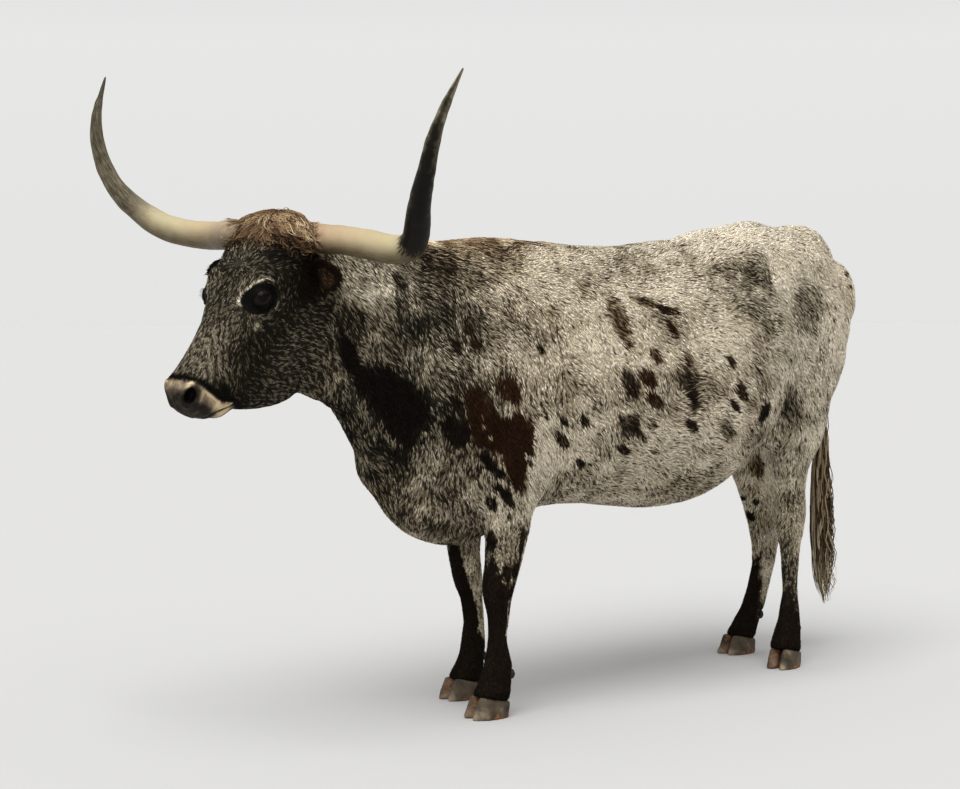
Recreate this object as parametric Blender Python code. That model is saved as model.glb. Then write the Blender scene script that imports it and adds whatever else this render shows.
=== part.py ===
"""Texas longhorn cow standing on four legs, a still life-size figure in separate solids.

Metres, +Z up. The animal faces -Y and its left side is +X. The floor is z = 0.
The flesh is lofted from named cross-sections, swelled by muscles and bones, fused into one
skin, and then parted by thin cuts into head, neck, trunk, tail and legs. Horns, eyes, ears,
claws and dewclaws are separate solids that sit in sockets of the flesh.
"""
import math

import bmesh
import bpy
import numpy as np
from mathutils import Matrix, Vector

# ---- driving dimensions -------------------------------------------------------------------
GAP = 0.0003                # clearance between neighbouring solids
SOCKET_GAP = 0.0006         # clearance round a piece that sits in a socket
VOXEL = 0.009               # grid of the fused flesh
FLESH_TRIANGLES = 3950      # triangles of all the flesh together
SMOOTH_STEPS = 5            # rounds of smoothing everywhere
BODY_SMOOTH_STEPS = 26      # further rounds behind the head and above the feet
COARSE_WEIGHT = 0.0006      # how strongly the face and feet keep their triangles
TRUNK_RINGS, TRUNK_SIDES = 72, 48
LEG_RINGS, LEG_SIDES = 52, 24
LUMP_SIDES = 24

HEAD_POLL = Vector((0.076, -0.687, 1.358))      # top of the head between the horns
HEAD_TURN = math.radians(6.9)                   # head turned to the animal's left
HEAD_DROP = math.radians(54.3)                  # face line below the horizontal
HEAD_ROLL = math.radians(-1.7)
HEAD_RINGS, HEAD_SIDES = 46, 36

HORN_BASE_RADIUS = 0.0375
HORN_RINGS = 19
HORN_SIDES = 12
HORN_ROOT = 0.03            # length of horn inside its socket

EAR_RINGS = 10
EAR_SIDES = 12

EYE_RADIUS = 0.027
EYE_CENTRE = (0.232, -0.042, 0.090)             # down the face, out of the face, sideways
EYE_SIDES = 12

CLAW_LENGTH = 0.114
CLAW_WIDTH = 0.046
CLAW_CLEFT = 0.006          # gap between the two claws of a foot
CORONET_TOE = 0.066         # height of the coronet over the toe
CORONET_HEEL = 0.044        # height of the coronet over the heel
CLAW_SIDES = 14
CLAW_POINT = 0.42           # how much a claw narrows towards its toe
CLAW_INNER = 0.42           # reach of a claw towards its partner, of its width
DEWCLAW_RADIUS = 0.013
DEWCLAW_HEIGHT = 0.118
DEWCLAW_SIDES = 8

# ---- cross-sections ----------------------------------------------------------------------
# Neck and trunk: station along Y, sideways centre, top, bottom, half width, height of the
# widest point, and roundness above and below it (2 is an ellipse, less is more pointed).
TRUNK = (
    (-0.62, 0.070, 1.322, 0.915, 0.094, 1.12, 2.1, 2.0),
    (-0.55, 0.062, 1.316, 0.884, 0.108, 1.09, 2.0, 1.9),
    (-0.46, 0.048, 1.306, 0.850, 0.122, 1.06, 1.9, 1.7),
    (-0.37, 0.032, 1.300, 0.742, 0.140, 1.01, 1.8, 1.7),
    (-0.28, 0.014, 1.297, 0.626, 0.166, 0.95, 1.8, 1.8),
    (-0.18, 0.004, 1.296, 0.555, 0.195, 0.89, 1.7, 1.8),
    (-0.06, 0.000, 1.304, 0.461, 0.222, 0.87, 1.6, 1.9),
    (0.05, 0.000, 1.315, 0.480, 0.238, 0.86, 1.6, 2.0),
    (0.20, 0.000, 1.309, 0.540, 0.258, 0.86, 1.7, 2.2),
    (0.40, 0.000, 1.300, 0.547, 0.292, 0.87, 1.8, 2.2),
    (0.60, 0.000, 1.298, 0.527, 0.319, 0.88, 1.9, 2.2),
    (0.80, 0.000, 1.314, 0.522, 0.327, 0.89, 2.1, 2.2),
    (0.95, 0.000, 1.337, 0.582, 0.310, 0.92, 2.1, 2.1),
    (1.06, 0.000, 1.362, 0.665, 0.284, 0.96, 2.0, 2.0),
    (1.17, 0.000, 1.382, 0.720, 0.252, 1.00, 1.9, 2.0),
    (1.27, 0.000, 1.360, 0.730, 0.226, 1.03, 1.8, 2.0),
    (1.37, 0.000, 1.371, 0.770, 0.190, 1.05, 1.7, 2.0),
    (1.45, 0.000, 1.350, 0.830, 0.145, 1.07, 1.8, 2.0),
    (1.495, 0.000, 1.285, 0.930, 0.100, 1.10, 2.0, 2.0),
)
# Head: station down the face, face line, throat line, half width, depth of the widest
# point, and roundness on the face side and on the jaw side.
HEAD = (
    (-0.020, -0.045, -0.150, 0.070, -0.090, 2.2, 2.0),
    (0.020, -0.016, -0.200, 0.098, -0.085, 2.4, 2.0),
    (0.070, 0.002, -0.255, 0.117, -0.080, 2.9, 1.9),
    (0.140, 0.006, -0.300, 0.116, -0.075, 3.0, 1.8),
    (0.210, 0.003, -0.334, 0.104, -0.070, 2.8, 1.8),
    (0.270, -0.005, -0.350, 0.096, -0.080, 2.5, 1.8),
    (0.330, -0.008, -0.345, 0.083, -0.090, 2.4, 1.8),
    (0.390, -0.007, -0.300, 0.070, -0.085, 2.3, 1.9),
    (0.430, -0.005, -0.250, 0.061, -0.078, 2.3, 2.0),
    (0.465, -0.005, -0.196, 0.058, -0.072, 2.4, 2.1),
    (0.500, -0.010, -0.152, 0.060, -0.070, 2.5, 2.2),
    (0.530, -0.026, -0.132, 0.056, -0.072, 2.5, 2.2),
    (0.552, -0.045, -0.105, 0.036, -0.074, 2.2, 2.0),
)
# Legs: height, sideways centre, centre along Y, half width, half depth. Sideways is
# counted from the middle of the body outwards.
NEAR_FORE = (
    (0.80, 0.150, 0.070, 0.070, 0.120),
    (0.70, 0.156, 0.062, 0.070, 0.104),
    (0.62, 0.156, 0.056, 0.064, 0.086),
    (0.54, 0.152, 0.050, 0.055, 0.079),
    (0.48, 0.150, 0.042, 0.050, 0.068),
    (0.42, 0.149, 0.031, 0.045, 0.058),
    (0.37, 0.148, 0.019, 0.043, 0.050),
    (0.33, 0.147, 0.014, 0.041, 0.040),
    (0.28, 0.145, 0.019, 0.032, 0.031),
    (0.21, 0.143, 0.018, 0.027, 0.028),
    (0.17, 0.141, 0.021, 0.031, 0.036),
    (0.13, 0.139, 0.022, 0.038, 0.047),
    (0.10, 0.136, 0.016, 0.041, 0.050),
    (0.07, 0.134, 0.007, 0.046, 0.054),
    (0.04, 0.131, -0.002, 0.047, 0.054),
)
FAR_FORE = (
    (0.80, 0.150, 0.105, 0.070, 0.120),
    (0.70, 0.152, 0.110, 0.070, 0.104),
    (0.62, 0.148, 0.118, 0.064, 0.086),
    (0.54, 0.142, 0.124, 0.055, 0.073),
    (0.48, 0.138, 0.128, 0.050, 0.062),
    (0.42, 0.135, 0.131, 0.043, 0.049),
    (0.37, 0.133, 0.137, 0.042, 0.045),
    (0.33, 0.132, 0.144, 0.040, 0.040),
    (0.28, 0.131, 0.156, 0.031, 0.034),
    (0.22, 0.130, 0.163, 0.028, 0.033),
    (0.17, 0.130, 0.161, 0.031, 0.036),
    (0.13, 0.129, 0.158, 0.036, 0.040),
    (0.10, 0.129, 0.148, 0.040, 0.043),
    (0.07, 0.128, 0.133, 0.045, 0.049),
    (0.04, 0.128, 0.118, 0.047, 0.054),
)
NEAR_HIND = (
    (0.98, 0.152, 1.241, 0.092, 0.177),
    (0.88, 0.157, 1.222, 0.089, 0.147),
    (0.78, 0.157, 1.213, 0.081, 0.122),
    (0.70, 0.153, 1.205, 0.068, 0.095),
    (0.64, 0.149, 1.203, 0.056, 0.072),
    (0.58, 0.145, 1.205, 0.047, 0.056),
    (0.52, 0.141, 1.215, 0.039, 0.054),
    (0.47, 0.139, 1.220, 0.038, 0.055),
    (0.42, 0.138, 1.216, 0.036, 0.047),
    (0.37, 0.137, 1.215, 0.029, 0.035),
    (0.30, 0.136, 1.216, 0.023, 0.026),
    (0.23, 0.136, 1.217, 0.023, 0.025),
    (0.17, 0.135, 1.216, 0.030, 0.034),
    (0.12, 0.134, 1.211, 0.036, 0.045),
    (0.08, 0.133, 1.202, 0.042, 0.051),
    (0.04, 0.133, 1.199, 0.046, 0.054),
)
FAR_HIND = (
    (0.98, 0.152, 1.262, 0.092, 0.188),
    (0.88, 0.157, 1.268, 0.089, 0.174),
    (0.78, 0.158, 1.280, 0.082, 0.148),
    (0.70, 0.154, 1.300, 0.070, 0.124),
    (0.64, 0.150, 1.322, 0.060, 0.102),
    (0.57, 0.146, 1.350, 0.050, 0.084),
    (0.49, 0.143, 1.378, 0.042, 0.074),
    (0.42, 0.141, 1.400, 0.040, 0.064),
    (0.36, 0.140, 1.409, 0.035, 0.058),
    (0.30, 0.140, 1.405, 0.029, 0.049),
    (0.24, 0.140, 1.388, 0.027, 0.045),
    (0.18, 0.140, 1.366, 0.030, 0.043),
    (0.13, 0.139, 1.340, 0.035, 0.046),
    (0.09, 0.138, 1.311, 0.040, 0.048),
    (0.04, 0.137, 1.280, 0.046, 0.052),
)
# Foot: leg sections, side (+1 is the animal's left), toe direction turned outwards.
FEET = {
    "fore_left": (NEAR_FORE, 1, math.radians(-8)),
    "fore_right": (FAR_FORE, -1, math.radians(2)),
    "hind_left": (NEAR_HIND, 1, math.radians(14)),
    "hind_right": (FAR_HIND, -1, math.radians(2)),
}
TAIL_CUT = 0.785            # height where the tail's flesh ends and its long hair begins
# Tail: height, centre along Y, radius. The bony part ends where the long hair begins.
TAIL_TOP = ((1.345, 1.405, 0.036), (1.322, 1.468, 0.036), (1.265, 1.526, 0.034),
            (1.185, 1.560, 0.031), (1.080, 1.566, 0.027), (0.960, 1.548, 0.023),
            (0.860, 1.534, 0.020), (0.770, 1.524, 0.018))
TAIL_SWITCH = ((TAIL_CUT - 5 * GAP, 1.525, 0.018), (0.700, 1.520, 0.023), (0.640, 1.517, 0.029),
               (0.580, 1.515, 0.034), (0.485, 1.517, 0.039), (0.388, 1.522, 0.041),
               (0.290, 1.530, 0.040), (0.220, 1.536, 0.034), (0.178, 1.540, 0.024),
               (0.145, 1.542, 0.010))
# Horn centre line: outwards from the poll, forwards, upwards. It is the same on both
# sides, apart from the small differences that follow, which the left horn adds.
HORN_LINE = ((0.130, -0.028, -0.061), (0.265, -0.057, -0.067), (0.402, -0.063, -0.071),
             (0.505, -0.013, -0.009), (0.577, 0.039, 0.091), (0.622, 0.047, 0.219),
             (0.654, 0.007, 0.344))
HORN_SKEW = ((-0.008, -0.032, -0.004), (0.001, 0.000, -0.008), (0.018, -0.018, -0.021),
             (0.002, 0.002, -0.005), (0.006, 0.000, 0.001), (0.010, -0.006, -0.004),
             (0.020, 0.006, -0.023))
# Fraction of the horn's length, and its radius there as a fraction of the base's.
HORN_TAPER = ((0.0, 1.0), (0.25, 0.97), (0.42, 0.92), (0.52, 0.81), (0.60, 0.70),
              (0.70, 0.58), (0.80, 0.44), (0.90, 0.28), (0.97, 0.15), (1.0, 0.06))


# ---- small helpers -----------------------------------------------------------------------
def smooth_rows(rows, stations):
    """Read a table with a smooth curve through its rows; the first column is the station."""
    table = np.array(rows, dtype=float)
    knots = table[:, 0]
    slopes = np.gradient(table, knots, axis=0)
    low = np.clip(np.searchsorted(knots, stations) - 1, 0, len(knots) - 2)
    step = (knots[low + 1] - knots[low])[:, None]
    t = (np.asarray(stations) - knots[low])[:, None] / step
    return (table[low] * (2 * t**3 - 3 * t**2 + 1) + slopes[low] * step * (t**3 - 2 * t**2 + t)
            + table[low + 1] * (3 * t**2 - 2 * t**3) + slopes[low + 1] * step * (t**3 - t**2))


def curve_points(points, count):
    """Evenly spaced points on a smooth curve through a few points in space."""
    points = np.array(points, dtype=float)
    chord = np.linalg.norm(np.diff(points, axis=0), axis=1)
    station = np.concatenate([[0.0], np.cumsum(chord)])
    rows = np.column_stack([station, points])
    return smooth_rows(rows, np.linspace(0.0, station[-1], count))[:, 1:]


def squircle(count, half_width, up, down, round_up=2.0, round_down=2.0):
    """Closed outline with its own height and roundness above and below the widest line."""
    angle = np.linspace(0.0, 2 * math.pi, count, endpoint=False)
    power = np.where(np.sin(angle) >= 0, 2.0 / round_up, 2.0 / round_down)
    reach = np.where(np.sin(angle) >= 0, up, down)
    across = np.sign(np.cos(angle)) * np.abs(np.cos(angle)) ** power * half_width
    along = np.sign(np.sin(angle)) * np.abs(np.sin(angle)) ** power * reach
    return np.column_stack([across, along])


def add_object(name, bm):
    """Turn a bmesh into an object with its faces pointing out."""
    bmesh.ops.recalc_face_normals(bm, faces=bm.faces)
    if bm.calc_volume(signed=True) < 0:
        bmesh.ops.reverse_faces(bm, faces=bm.faces)
    mesh = bpy.data.meshes.new(name)
    bm.to_mesh(mesh)
    bm.free()
    obj = bpy.data.objects.new(name, mesh)
    bpy.context.scene.collection.objects.link(obj)
    return obj


def loft(name, rings):
    """Closed solid through a row of rings of equal point count."""
    bm = bmesh.new()
    rows = [[bm.verts.new(point) for point in ring] for ring in rings]
    for first, second in zip(rows, rows[1:]):
        for i, vert in enumerate(first):
            j = (i + 1) % len(first)
            bm.faces.new((vert, first[j], second[j], second[i]))
    for row in (rows[0], rows[-1]):
        middle = bm.verts.new(sum((vert.co for vert in row), Vector()) / len(row))
        for i, vert in enumerate(row):
            bm.faces.new((vert, row[(i + 1) % len(row)], middle))
    bmesh.ops.triangulate(bm, faces=bm.faces, quad_method="FIXED")
    return add_object(name, bm)


def ellipsoid(name, centre, radii, turn=None, sides=LUMP_SIDES):
    """Round lump with three radii, turned by a matrix."""
    bm = bmesh.new()
    bmesh.ops.create_uvsphere(bm, u_segments=sides, v_segments=sides // 2, radius=1.0)
    shape = (turn or Matrix.Identity(3)) @ Matrix.Diagonal(radii)
    bmesh.ops.transform(bm, matrix=Matrix.Translation(centre) @ shape.to_4x4(), verts=bm.verts)
    return add_object(name, bm)


def region(name, corners, grow=0.0):
    """Six-sided cutter from eight corners, bottom four and top four, in the same order."""
    middle = sum((Vector(corner) for corner in corners), Vector()) / 8
    bm = bmesh.new()
    verts = []
    for corner in corners:
        outward = Vector(corner) - middle
        verts.append(bm.verts.new(Vector(corner) + Vector(
            [math.copysign(grow, part) for part in outward])))
    for loop in ((0, 1, 2, 3), (4, 5, 6, 7), (0, 1, 5, 4), (1, 2, 6, 5), (2, 3, 7, 6),
                 (3, 0, 4, 7)):
        bm.faces.new([verts[i] for i in loop])
    bmesh.ops.triangulate(bm, faces=bm.faces)
    return add_object(name, bm)


def drop(obj):
    """Remove a helper object."""
    bpy.data.objects.remove(obj)


def apply_modifiers(obj):
    """Replace an object's mesh by what its modifiers make of it."""
    graph = bpy.context.evaluated_depsgraph_get()
    mesh = bpy.data.meshes.new_from_object(obj.evaluated_get(graph))
    obj.modifiers.clear()
    obj.data = mesh


def boolean(target, tool, operation):
    """Cut or intersect one solid with another."""
    modifier = target.modifiers.new("cut", "BOOLEAN")
    modifier.operation = operation
    modifier.solver = "EXACT"
    modifier.object = tool
    apply_modifiers(target)


def copy_of(obj, name):
    """Separate copy of an object and its mesh."""
    twin = bpy.data.objects.new(name, obj.data.copy())
    bpy.context.scene.collection.objects.link(twin)
    return twin


def main_piece(obj):
    """Keep the largest connected piece of a solid, without the chips that a cut leaves."""
    bm = bmesh.new()
    bm.from_mesh(obj.data)
    left = set(bm.verts)
    largest = set()
    while left:
        group = {left.pop()}
        edge_of_group = list(group)
        while edge_of_group:
            vert = edge_of_group.pop()
            for edge in vert.link_edges:
                other = edge.other_vert(vert)
                if other in left:
                    left.remove(other)
                    group.add(other)
                    edge_of_group.append(other)
        if len(group) > len(largest):
            largest = group
    bmesh.ops.delete(bm, geom=[vert for vert in bm.verts if vert not in largest])
    bm.to_mesh(obj.data)
    bm.free()


def split_off(body, name, corners):
    """Cut the stretch of flesh inside a region from the rest, with a thin gap between."""
    piece = copy_of(body, name)
    inside = region("inside", corners)
    around = region("around", corners, GAP)
    boolean(piece, inside, "INTERSECT")
    boolean(body, around, "DIFFERENCE")
    drop(inside)
    drop(around)
    main_piece(piece)
    return piece


# ---- the head's own axes -----------------------------------------------------------------
HEAD_AHEAD = Vector((math.sin(HEAD_TURN), -math.cos(HEAD_TURN), 0.0))
HEAD_LEFT_FLAT = Vector((math.cos(HEAD_TURN), math.sin(HEAD_TURN), 0.0))
FACE_DOWN = HEAD_AHEAD * math.cos(HEAD_DROP) - Vector((0, 0, 1)) * math.sin(HEAD_DROP)
HEAD_LEFT = Matrix.Rotation(HEAD_ROLL, 3, FACE_DOWN) @ HEAD_LEFT_FLAT
FACE_OUT = FACE_DOWN.cross(HEAD_LEFT)


def on_head(down, out, left):
    """Point given down the face, out of the face and to the animal's left."""
    return HEAD_POLL + FACE_DOWN * down + FACE_OUT * out + HEAD_LEFT * left


HEAD_AXES = Matrix((FACE_DOWN, FACE_OUT, HEAD_LEFT)).transposed()


# ---- flesh -------------------------------------------------------------------------------
def trunk_and_neck():
    """Neck, chest, barrel and rump as one loft of upright sections."""
    rings = []
    for y, x, top, bottom, wide, middle, up, down in smooth_rows(
            TRUNK, np.linspace(TRUNK[0][0], TRUNK[-1][0], TRUNK_RINGS)):
        outline = squircle(TRUNK_SIDES, wide, top - middle, middle - bottom, up, down)
        rings.append([(x + across, y, middle + along) for across, along in outline])
    return loft("trunk_loft", rings)


def head_loft():
    """Skull and jaws as one loft of sections across the face line."""
    rings = []
    for down, top, bottom, wide, middle, up, low in smooth_rows(
            HEAD, np.linspace(HEAD[0][0], HEAD[-1][0], HEAD_RINGS)):
        outline = squircle(HEAD_SIDES, wide, top - middle, middle - bottom, up, low)
        rings.append([on_head(down, middle + along, across) for across, along in outline])
    return loft("head_loft", rings)


def leg_loft(sections, side):
    """One leg as a loft of level sections."""
    heights = np.linspace(sections[-1][0], sections[0][0], LEG_RINGS)
    rows = smooth_rows(sections[::-1], heights)
    rings = []
    for z, x, y, wide, deep in rows:
        rings.append([(side * x + across, y + along, z)
                      for across, along in squircle(LEG_SIDES, wide, deep, deep)])
    return loft("leg_loft", rings)


def tail_loft(rows, sides=14, steps=30):
    """Round tail that follows its centre line."""
    path = curve_points([(0.0, y, z) for z, y, radius in rows], steps)
    radii = curve_points([(radius, 0.0, z) for z, y, radius in rows], steps)[:, 0]
    rings = []
    for i, centre in enumerate(path):
        ahead = Vector(path[min(i + 1, steps - 1)] - path[max(i - 1, 0)]).normalized()
        across = Vector((1.0, 0.0, 0.0))
        outward = across.cross(ahead)
        rings.append([Vector(centre) + across * a + outward * b
                      for a, b in squircle(sides, radii[i], radii[i], radii[i])])
    return loft("tail_loft", rings)


def muscles():
    """Muscles and bony points that swell the lofts, the same on both sides."""
    lumps = []
    for side in (1, -1):
        lean = Matrix.Rotation(math.radians(-16), 3, "X")
        tuck = Matrix.Rotation(math.radians(-11 * side), 3, "Y")
        slope = Matrix.Rotation(math.radians(-14), 3, "X")
        fore = -0.02 if side > 0 else 0.02
        hind = 0.0 if side > 0 else 0.03
        places = (
            ((0.152, 0.040, 0.980), (0.066, 0.110, 0.250), lean @ tuck),        # shoulder blade
            ((0.165, -0.085 + fore, 0.820), (0.072, 0.090, 0.120), lean),       # its point
            ((0.165, 0.075 + fore, 0.740), (0.078, 0.130, 0.150), lean),        # upper arm
            ((0.180, 0.115 + fore, 0.640), (0.040, 0.060, 0.075), None),        # elbow
            ((0.178, 0.985, 1.255), (0.048, 0.075, 0.050), None),               # hip bone
            ((0.105, 0.940, 1.240), (0.120, 0.190, 0.060), None),               # loin
            ((0.105, 1.200, 1.240), (0.115, 0.260, 0.105), slope),              # rump
            ((0.082, 1.478, 1.140), (0.066, 0.080, 0.125), None),               # pin bone
            ((0.148, 1.262 + hind, 1.020), (0.098, 0.178, 0.250), None),        # thigh
            ((0.168, 1.135, 0.810), (0.074, 0.105, 0.150), slope),              # stifle
            ((0.172, 1.050, 0.755), (0.034, 0.120, 0.075), slope),              # flank fold
            ((0.108, 1.370 + hind, 1.030), (0.070, 0.095, 0.200), None),        # hamstring
        )
        for (x, y, z), radii, turn in places:
            lumps.append(ellipsoid("muscle", (side * x, y, z), radii, turn))
    rise = Matrix.Rotation(math.radians(-20), 3, "X")
    lumps.append(ellipsoid("brisket", (0.0, -0.085, 0.606), (0.124, 0.208, 0.136), rise))
    lumps.append(ellipsoid("breast", (0.0, -0.244, 0.715), (0.122, 0.076, 0.120)))
    lumps.append(ellipsoid("hock_left", (0.135, 1.260, 0.474), (0.019, 0.026, 0.046)))
    lumps.append(ellipsoid("hock_right", (-0.140, 1.456, 0.440), (0.019, 0.024, 0.042)))
    return lumps


def head_lumps():
    """Brows, cheeks, lips and the mop of hair on the poll."""
    lumps = [
        ellipsoid("mop", on_head(0.032, -0.040, 0.0), (0.072, 0.046, 0.128), HEAD_AXES),
        ellipsoid("nose", on_head(0.510, -0.058, 0.0), (0.046, 0.046, 0.062), HEAD_AXES),
        ellipsoid("chin", on_head(0.472, -0.148, 0.0), (0.050, 0.030, 0.036), HEAD_AXES),
        ellipsoid("throat", on_head(0.24, -0.22, 0.0), (0.112, 0.108, 0.072), HEAD_AXES),
    ]
    for side in (1, -1):
        places = (
            ((0.200, -0.034, 0.074), (0.070, 0.036, 0.037)),        # brow
            ((0.262, -0.078, 0.072), (0.056, 0.040, 0.030)),        # under the eye
            ((0.290, -0.195, 0.052), (0.105, 0.095, 0.044)),        # cheek
            ((0.040, -0.068, 0.108), (0.046, 0.046, 0.040)),        # horn root
            ((0.495, -0.102, 0.030), (0.046, 0.030, 0.034)),        # upper lip
            ((0.500, -0.036, 0.032), (0.032, 0.028, 0.026)),        # nostril wing
        )
        for (down, out, left), radii in places:
            lumps.append(ellipsoid("lump", on_head(down, out, side * left), radii, HEAD_AXES))
    return lumps


def fuse(parts, name):
    """Join overlapping solids into one smooth skin of few triangles."""
    bm = bmesh.new()
    for part in parts:
        bm.from_mesh(part.data)
        drop(part)
    body = add_object(name, bm)
    remesh = body.modifiers.new("fuse", "REMESH")
    remesh.mode = "VOXEL"
    remesh.voxel_size = VOXEL
    relax = body.modifiers.new("relax", "SMOOTH")
    relax.factor = 0.5
    relax.iterations = SMOOTH_STEPS
    apply_modifiers(body)
    weigh(body)
    relax = body.modifiers.new("relax_body", "SMOOTH")
    relax.factor = 0.5
    relax.iterations = BODY_SMOOTH_STEPS
    relax.vertex_group = "soft"
    body.modifiers.new("triangles", "TRIANGULATE")
    apply_modifiers(body)
    thin = body.modifiers.new("thin", "DECIMATE")
    thin.ratio = FLESH_TRIANGLES / len(body.data.polygons)
    thin.vertex_group = "coarse"
    thin.vertex_group_factor = COARSE_WEIGHT
    apply_modifiers(body)
    body.vertex_groups.clear()
    return body


def fade(value, full, none):
    """One at and beyond the first place, none at and beyond the second."""
    return min(max((value - none) / (full - none), 0.0), 1.0)


def weigh(body):
    """Mark where the flesh is smoothed further, and where it keeps more of its triangles."""
    coarse = body.vertex_groups.new(name="coarse")
    soft = body.vertex_groups.new(name="soft")
    face_middle = on_head(0.30, -0.10, 0.0)
    for vert in body.data.vertices:
        on_face = fade((vert.co - face_middle).length, 0.36, 0.44)
        on_leg = fade(vert.co.z, 0.48, 0.62)
        between_legs = abs(vert.co.x) < 0.06 or 0.40 < vert.co.y < 1.0 or vert.co.y < -0.15
        if between_legs:
            on_leg = 0.0
        on_tail = 1.0 if vert.co.y > 1.53 and abs(vert.co.x) < 0.05 else 0.0
        soft.add([vert.index], 1.0 - max(on_face, on_leg, on_tail), "REPLACE")
        coarse.add([vert.index], 1.0 - 0.6 * on_face - 0.25 * on_leg * (1.0 - on_face),
                   "REPLACE")


# ---- horns, eyes, ears -------------------------------------------------------------------
def horn(name, side, grow=0.0):
    """Horn that runs outwards, bends and rises to its tip, thinner all the way."""
    line = []
    for place, skew in zip(HORN_LINE, HORN_SKEW):
        out, ahead, up = (a + side * b for a, b in zip(place, skew))
        line.append(HEAD_POLL + HEAD_LEFT * (side * out) + HEAD_AHEAD * ahead
                    + Vector((0, 0, up)))
    root = line[0] - (line[1] - line[0]).normalized() * HORN_ROOT
    path = curve_points([root] + line, HORN_RINGS)
    taper = smooth_rows(HORN_TAPER, np.linspace(0.0, 1.0, HORN_RINGS))[:, 1]
    rings = []
    for i, centre in enumerate(path):
        ahead = Vector(path[min(i + 1, HORN_RINGS - 1)] - path[max(i - 1, 0)]).normalized()
        across = ahead.cross(HEAD_AHEAD).normalized()
        outward = across.cross(ahead)
        radius = HORN_BASE_RADIUS * taper[i] + grow
        shift = -ahead * grow if i == 0 else Vector()
        rings.append([Vector(centre) + shift + across * a + outward * b
                      for a, b in squircle(HORN_SIDES, radius, radius, radius)])
    return loft(name, rings)


def eye(name, side, grow=0.0):
    """Eyeball in its socket."""
    down, out, left = EYE_CENTRE
    radius = EYE_RADIUS + grow
    return ellipsoid(name, on_head(down, out, side * left), (radius,) * 3, HEAD_AXES, EYE_SIDES)


def ear(name, side, grow=0.0):
    """Cupped leaf that points outwards and forwards from below the horn's root."""
    base = on_head(0.066, -0.152, side * 0.086)
    tip_way = (HEAD_LEFT * (side * 0.88) + HEAD_AHEAD * 0.35 - Vector((0, 0, 0.07))).normalized()
    open_way = HEAD_AHEAD * 0.80 - HEAD_LEFT * (side * 0.35) - Vector((0, 0, 0.30))
    across = tip_way.cross(open_way).normalized() * side
    open_way = across.cross(tip_way).normalized() * side
    rows = ((0.000, 0.017, 0.022, 0.004), (0.030, 0.026, 0.022, 0.009),
            (0.065, 0.041, 0.014, 0.022), (0.095, 0.047, 0.010, 0.025),
            (0.130, 0.041, 0.008, 0.018), (0.158, 0.026, 0.006, 0.009),
            (0.178, 0.008, 0.004, 0.003))
    rings = []
    for reach, wide, thick, cup in smooth_rows(rows, np.linspace(0.0, rows[-1][0], EAR_RINGS)):
        ring = []
        half = thick / 2 + grow
        for a, b in squircle(EAR_SIDES, wide + grow, half, half, 2.2, 2.2):
            bend = cup * (a / wide) ** 2
            ring.append(base + tip_way * (reach - (grow if reach == 0 else 0.0))
                        + across * a + open_way * (b + bend))
        rings.append(ring)
    return loft(name, rings)


# ---- feet --------------------------------------------------------------------------------
def foot_axes(sections, side, turn):
    """Middle of a foot on the floor, its toe direction and its outward direction."""
    x, y = sections[-1][1:3]
    toe = Matrix.Rotation(side * turn, 3, "Z") @ Vector((0.0, -1.0, 0.0))
    out = Vector((side * -toe.y, side * toe.x, 0.0))
    return Vector((side * x, y, 0.0)), toe, out


def coronet_height(along):
    """Height of the line where horn meets hair, over a place along the foot."""
    part = (along + CLAW_LENGTH / 2) / CLAW_LENGTH
    return CORONET_HEEL + (CORONET_TOE - CORONET_HEEL) * part


def claw(name, sections, side, turn, outer):
    """Half of a cloven hoof: flat sole, sloping toe wall, level with its partner."""
    middle, toe, out = foot_axes(sections, side, turn)
    lean = 1 if outer else -1
    rings = []
    for level, spread, slide in ((0.0, 0.96, 0.010), (0.07, 1.0, 0.010), (0.55, 0.94, 0.002),
                                 (1.0, 0.86, -0.005)):
        ring = []
        for angle in np.linspace(0.0, 2 * math.pi, CLAW_SIDES, endpoint=False):
            along = math.cos(angle) * CLAW_LENGTH / 2
            point = 1.0 - CLAW_POINT * max(0.0, math.cos(angle)) ** 3
            across = math.sin(angle) * CLAW_WIDTH / 2 * point
            if across < 0:
                across = max(across * 1.2, -CLAW_WIDTH * CLAW_INNER)
            along = along * spread + slide
            across = across * spread + CLAW_WIDTH * CLAW_INNER + CLAW_CLEFT / 2
            height = level * (coronet_height(along) - GAP)
            ring.append(middle + toe * along + out * (lean * across) + Vector((0, 0, height)))
        rings.append(ring)
    return loft(name, rings)


def below_coronet(sections, side, turn):
    """Cutter that ends the flesh of a leg on the sloping line above the claws."""
    middle, toe, out = foot_axes(sections, side, turn)
    reach = 0.16
    corners = []
    for bottom in (True, False):
        for a, b in ((-1, -1), (1, -1), (1, 1), (-1, 1)):
            height = -0.02 if bottom else coronet_height(a * reach)
            corners.append(middle + toe * (a * reach) + out * (b * 0.11)
                           + Vector((0, 0, height)))
    return region("below_coronet", corners)


def dewclaw(name, sections, side, turn, outer, grow=0.0):
    """Small horny knob behind the fetlock."""
    toe, out = foot_axes(sections, side, turn)[1:]
    z, x, y, wide, deep = smooth_rows(sections[::-1], np.array([DEWCLAW_HEIGHT]))[0]
    fetlock = Vector((side * x, y, z))
    lean = 1 if outer else -1
    place = fetlock - toe * (deep - 0.010) + out * (lean * 0.020)
    radius = DEWCLAW_RADIUS + grow
    return ellipsoid(name, place, (radius * 0.85, radius * 0.85, radius * 1.15), None,
                     DEWCLAW_SIDES)


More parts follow.
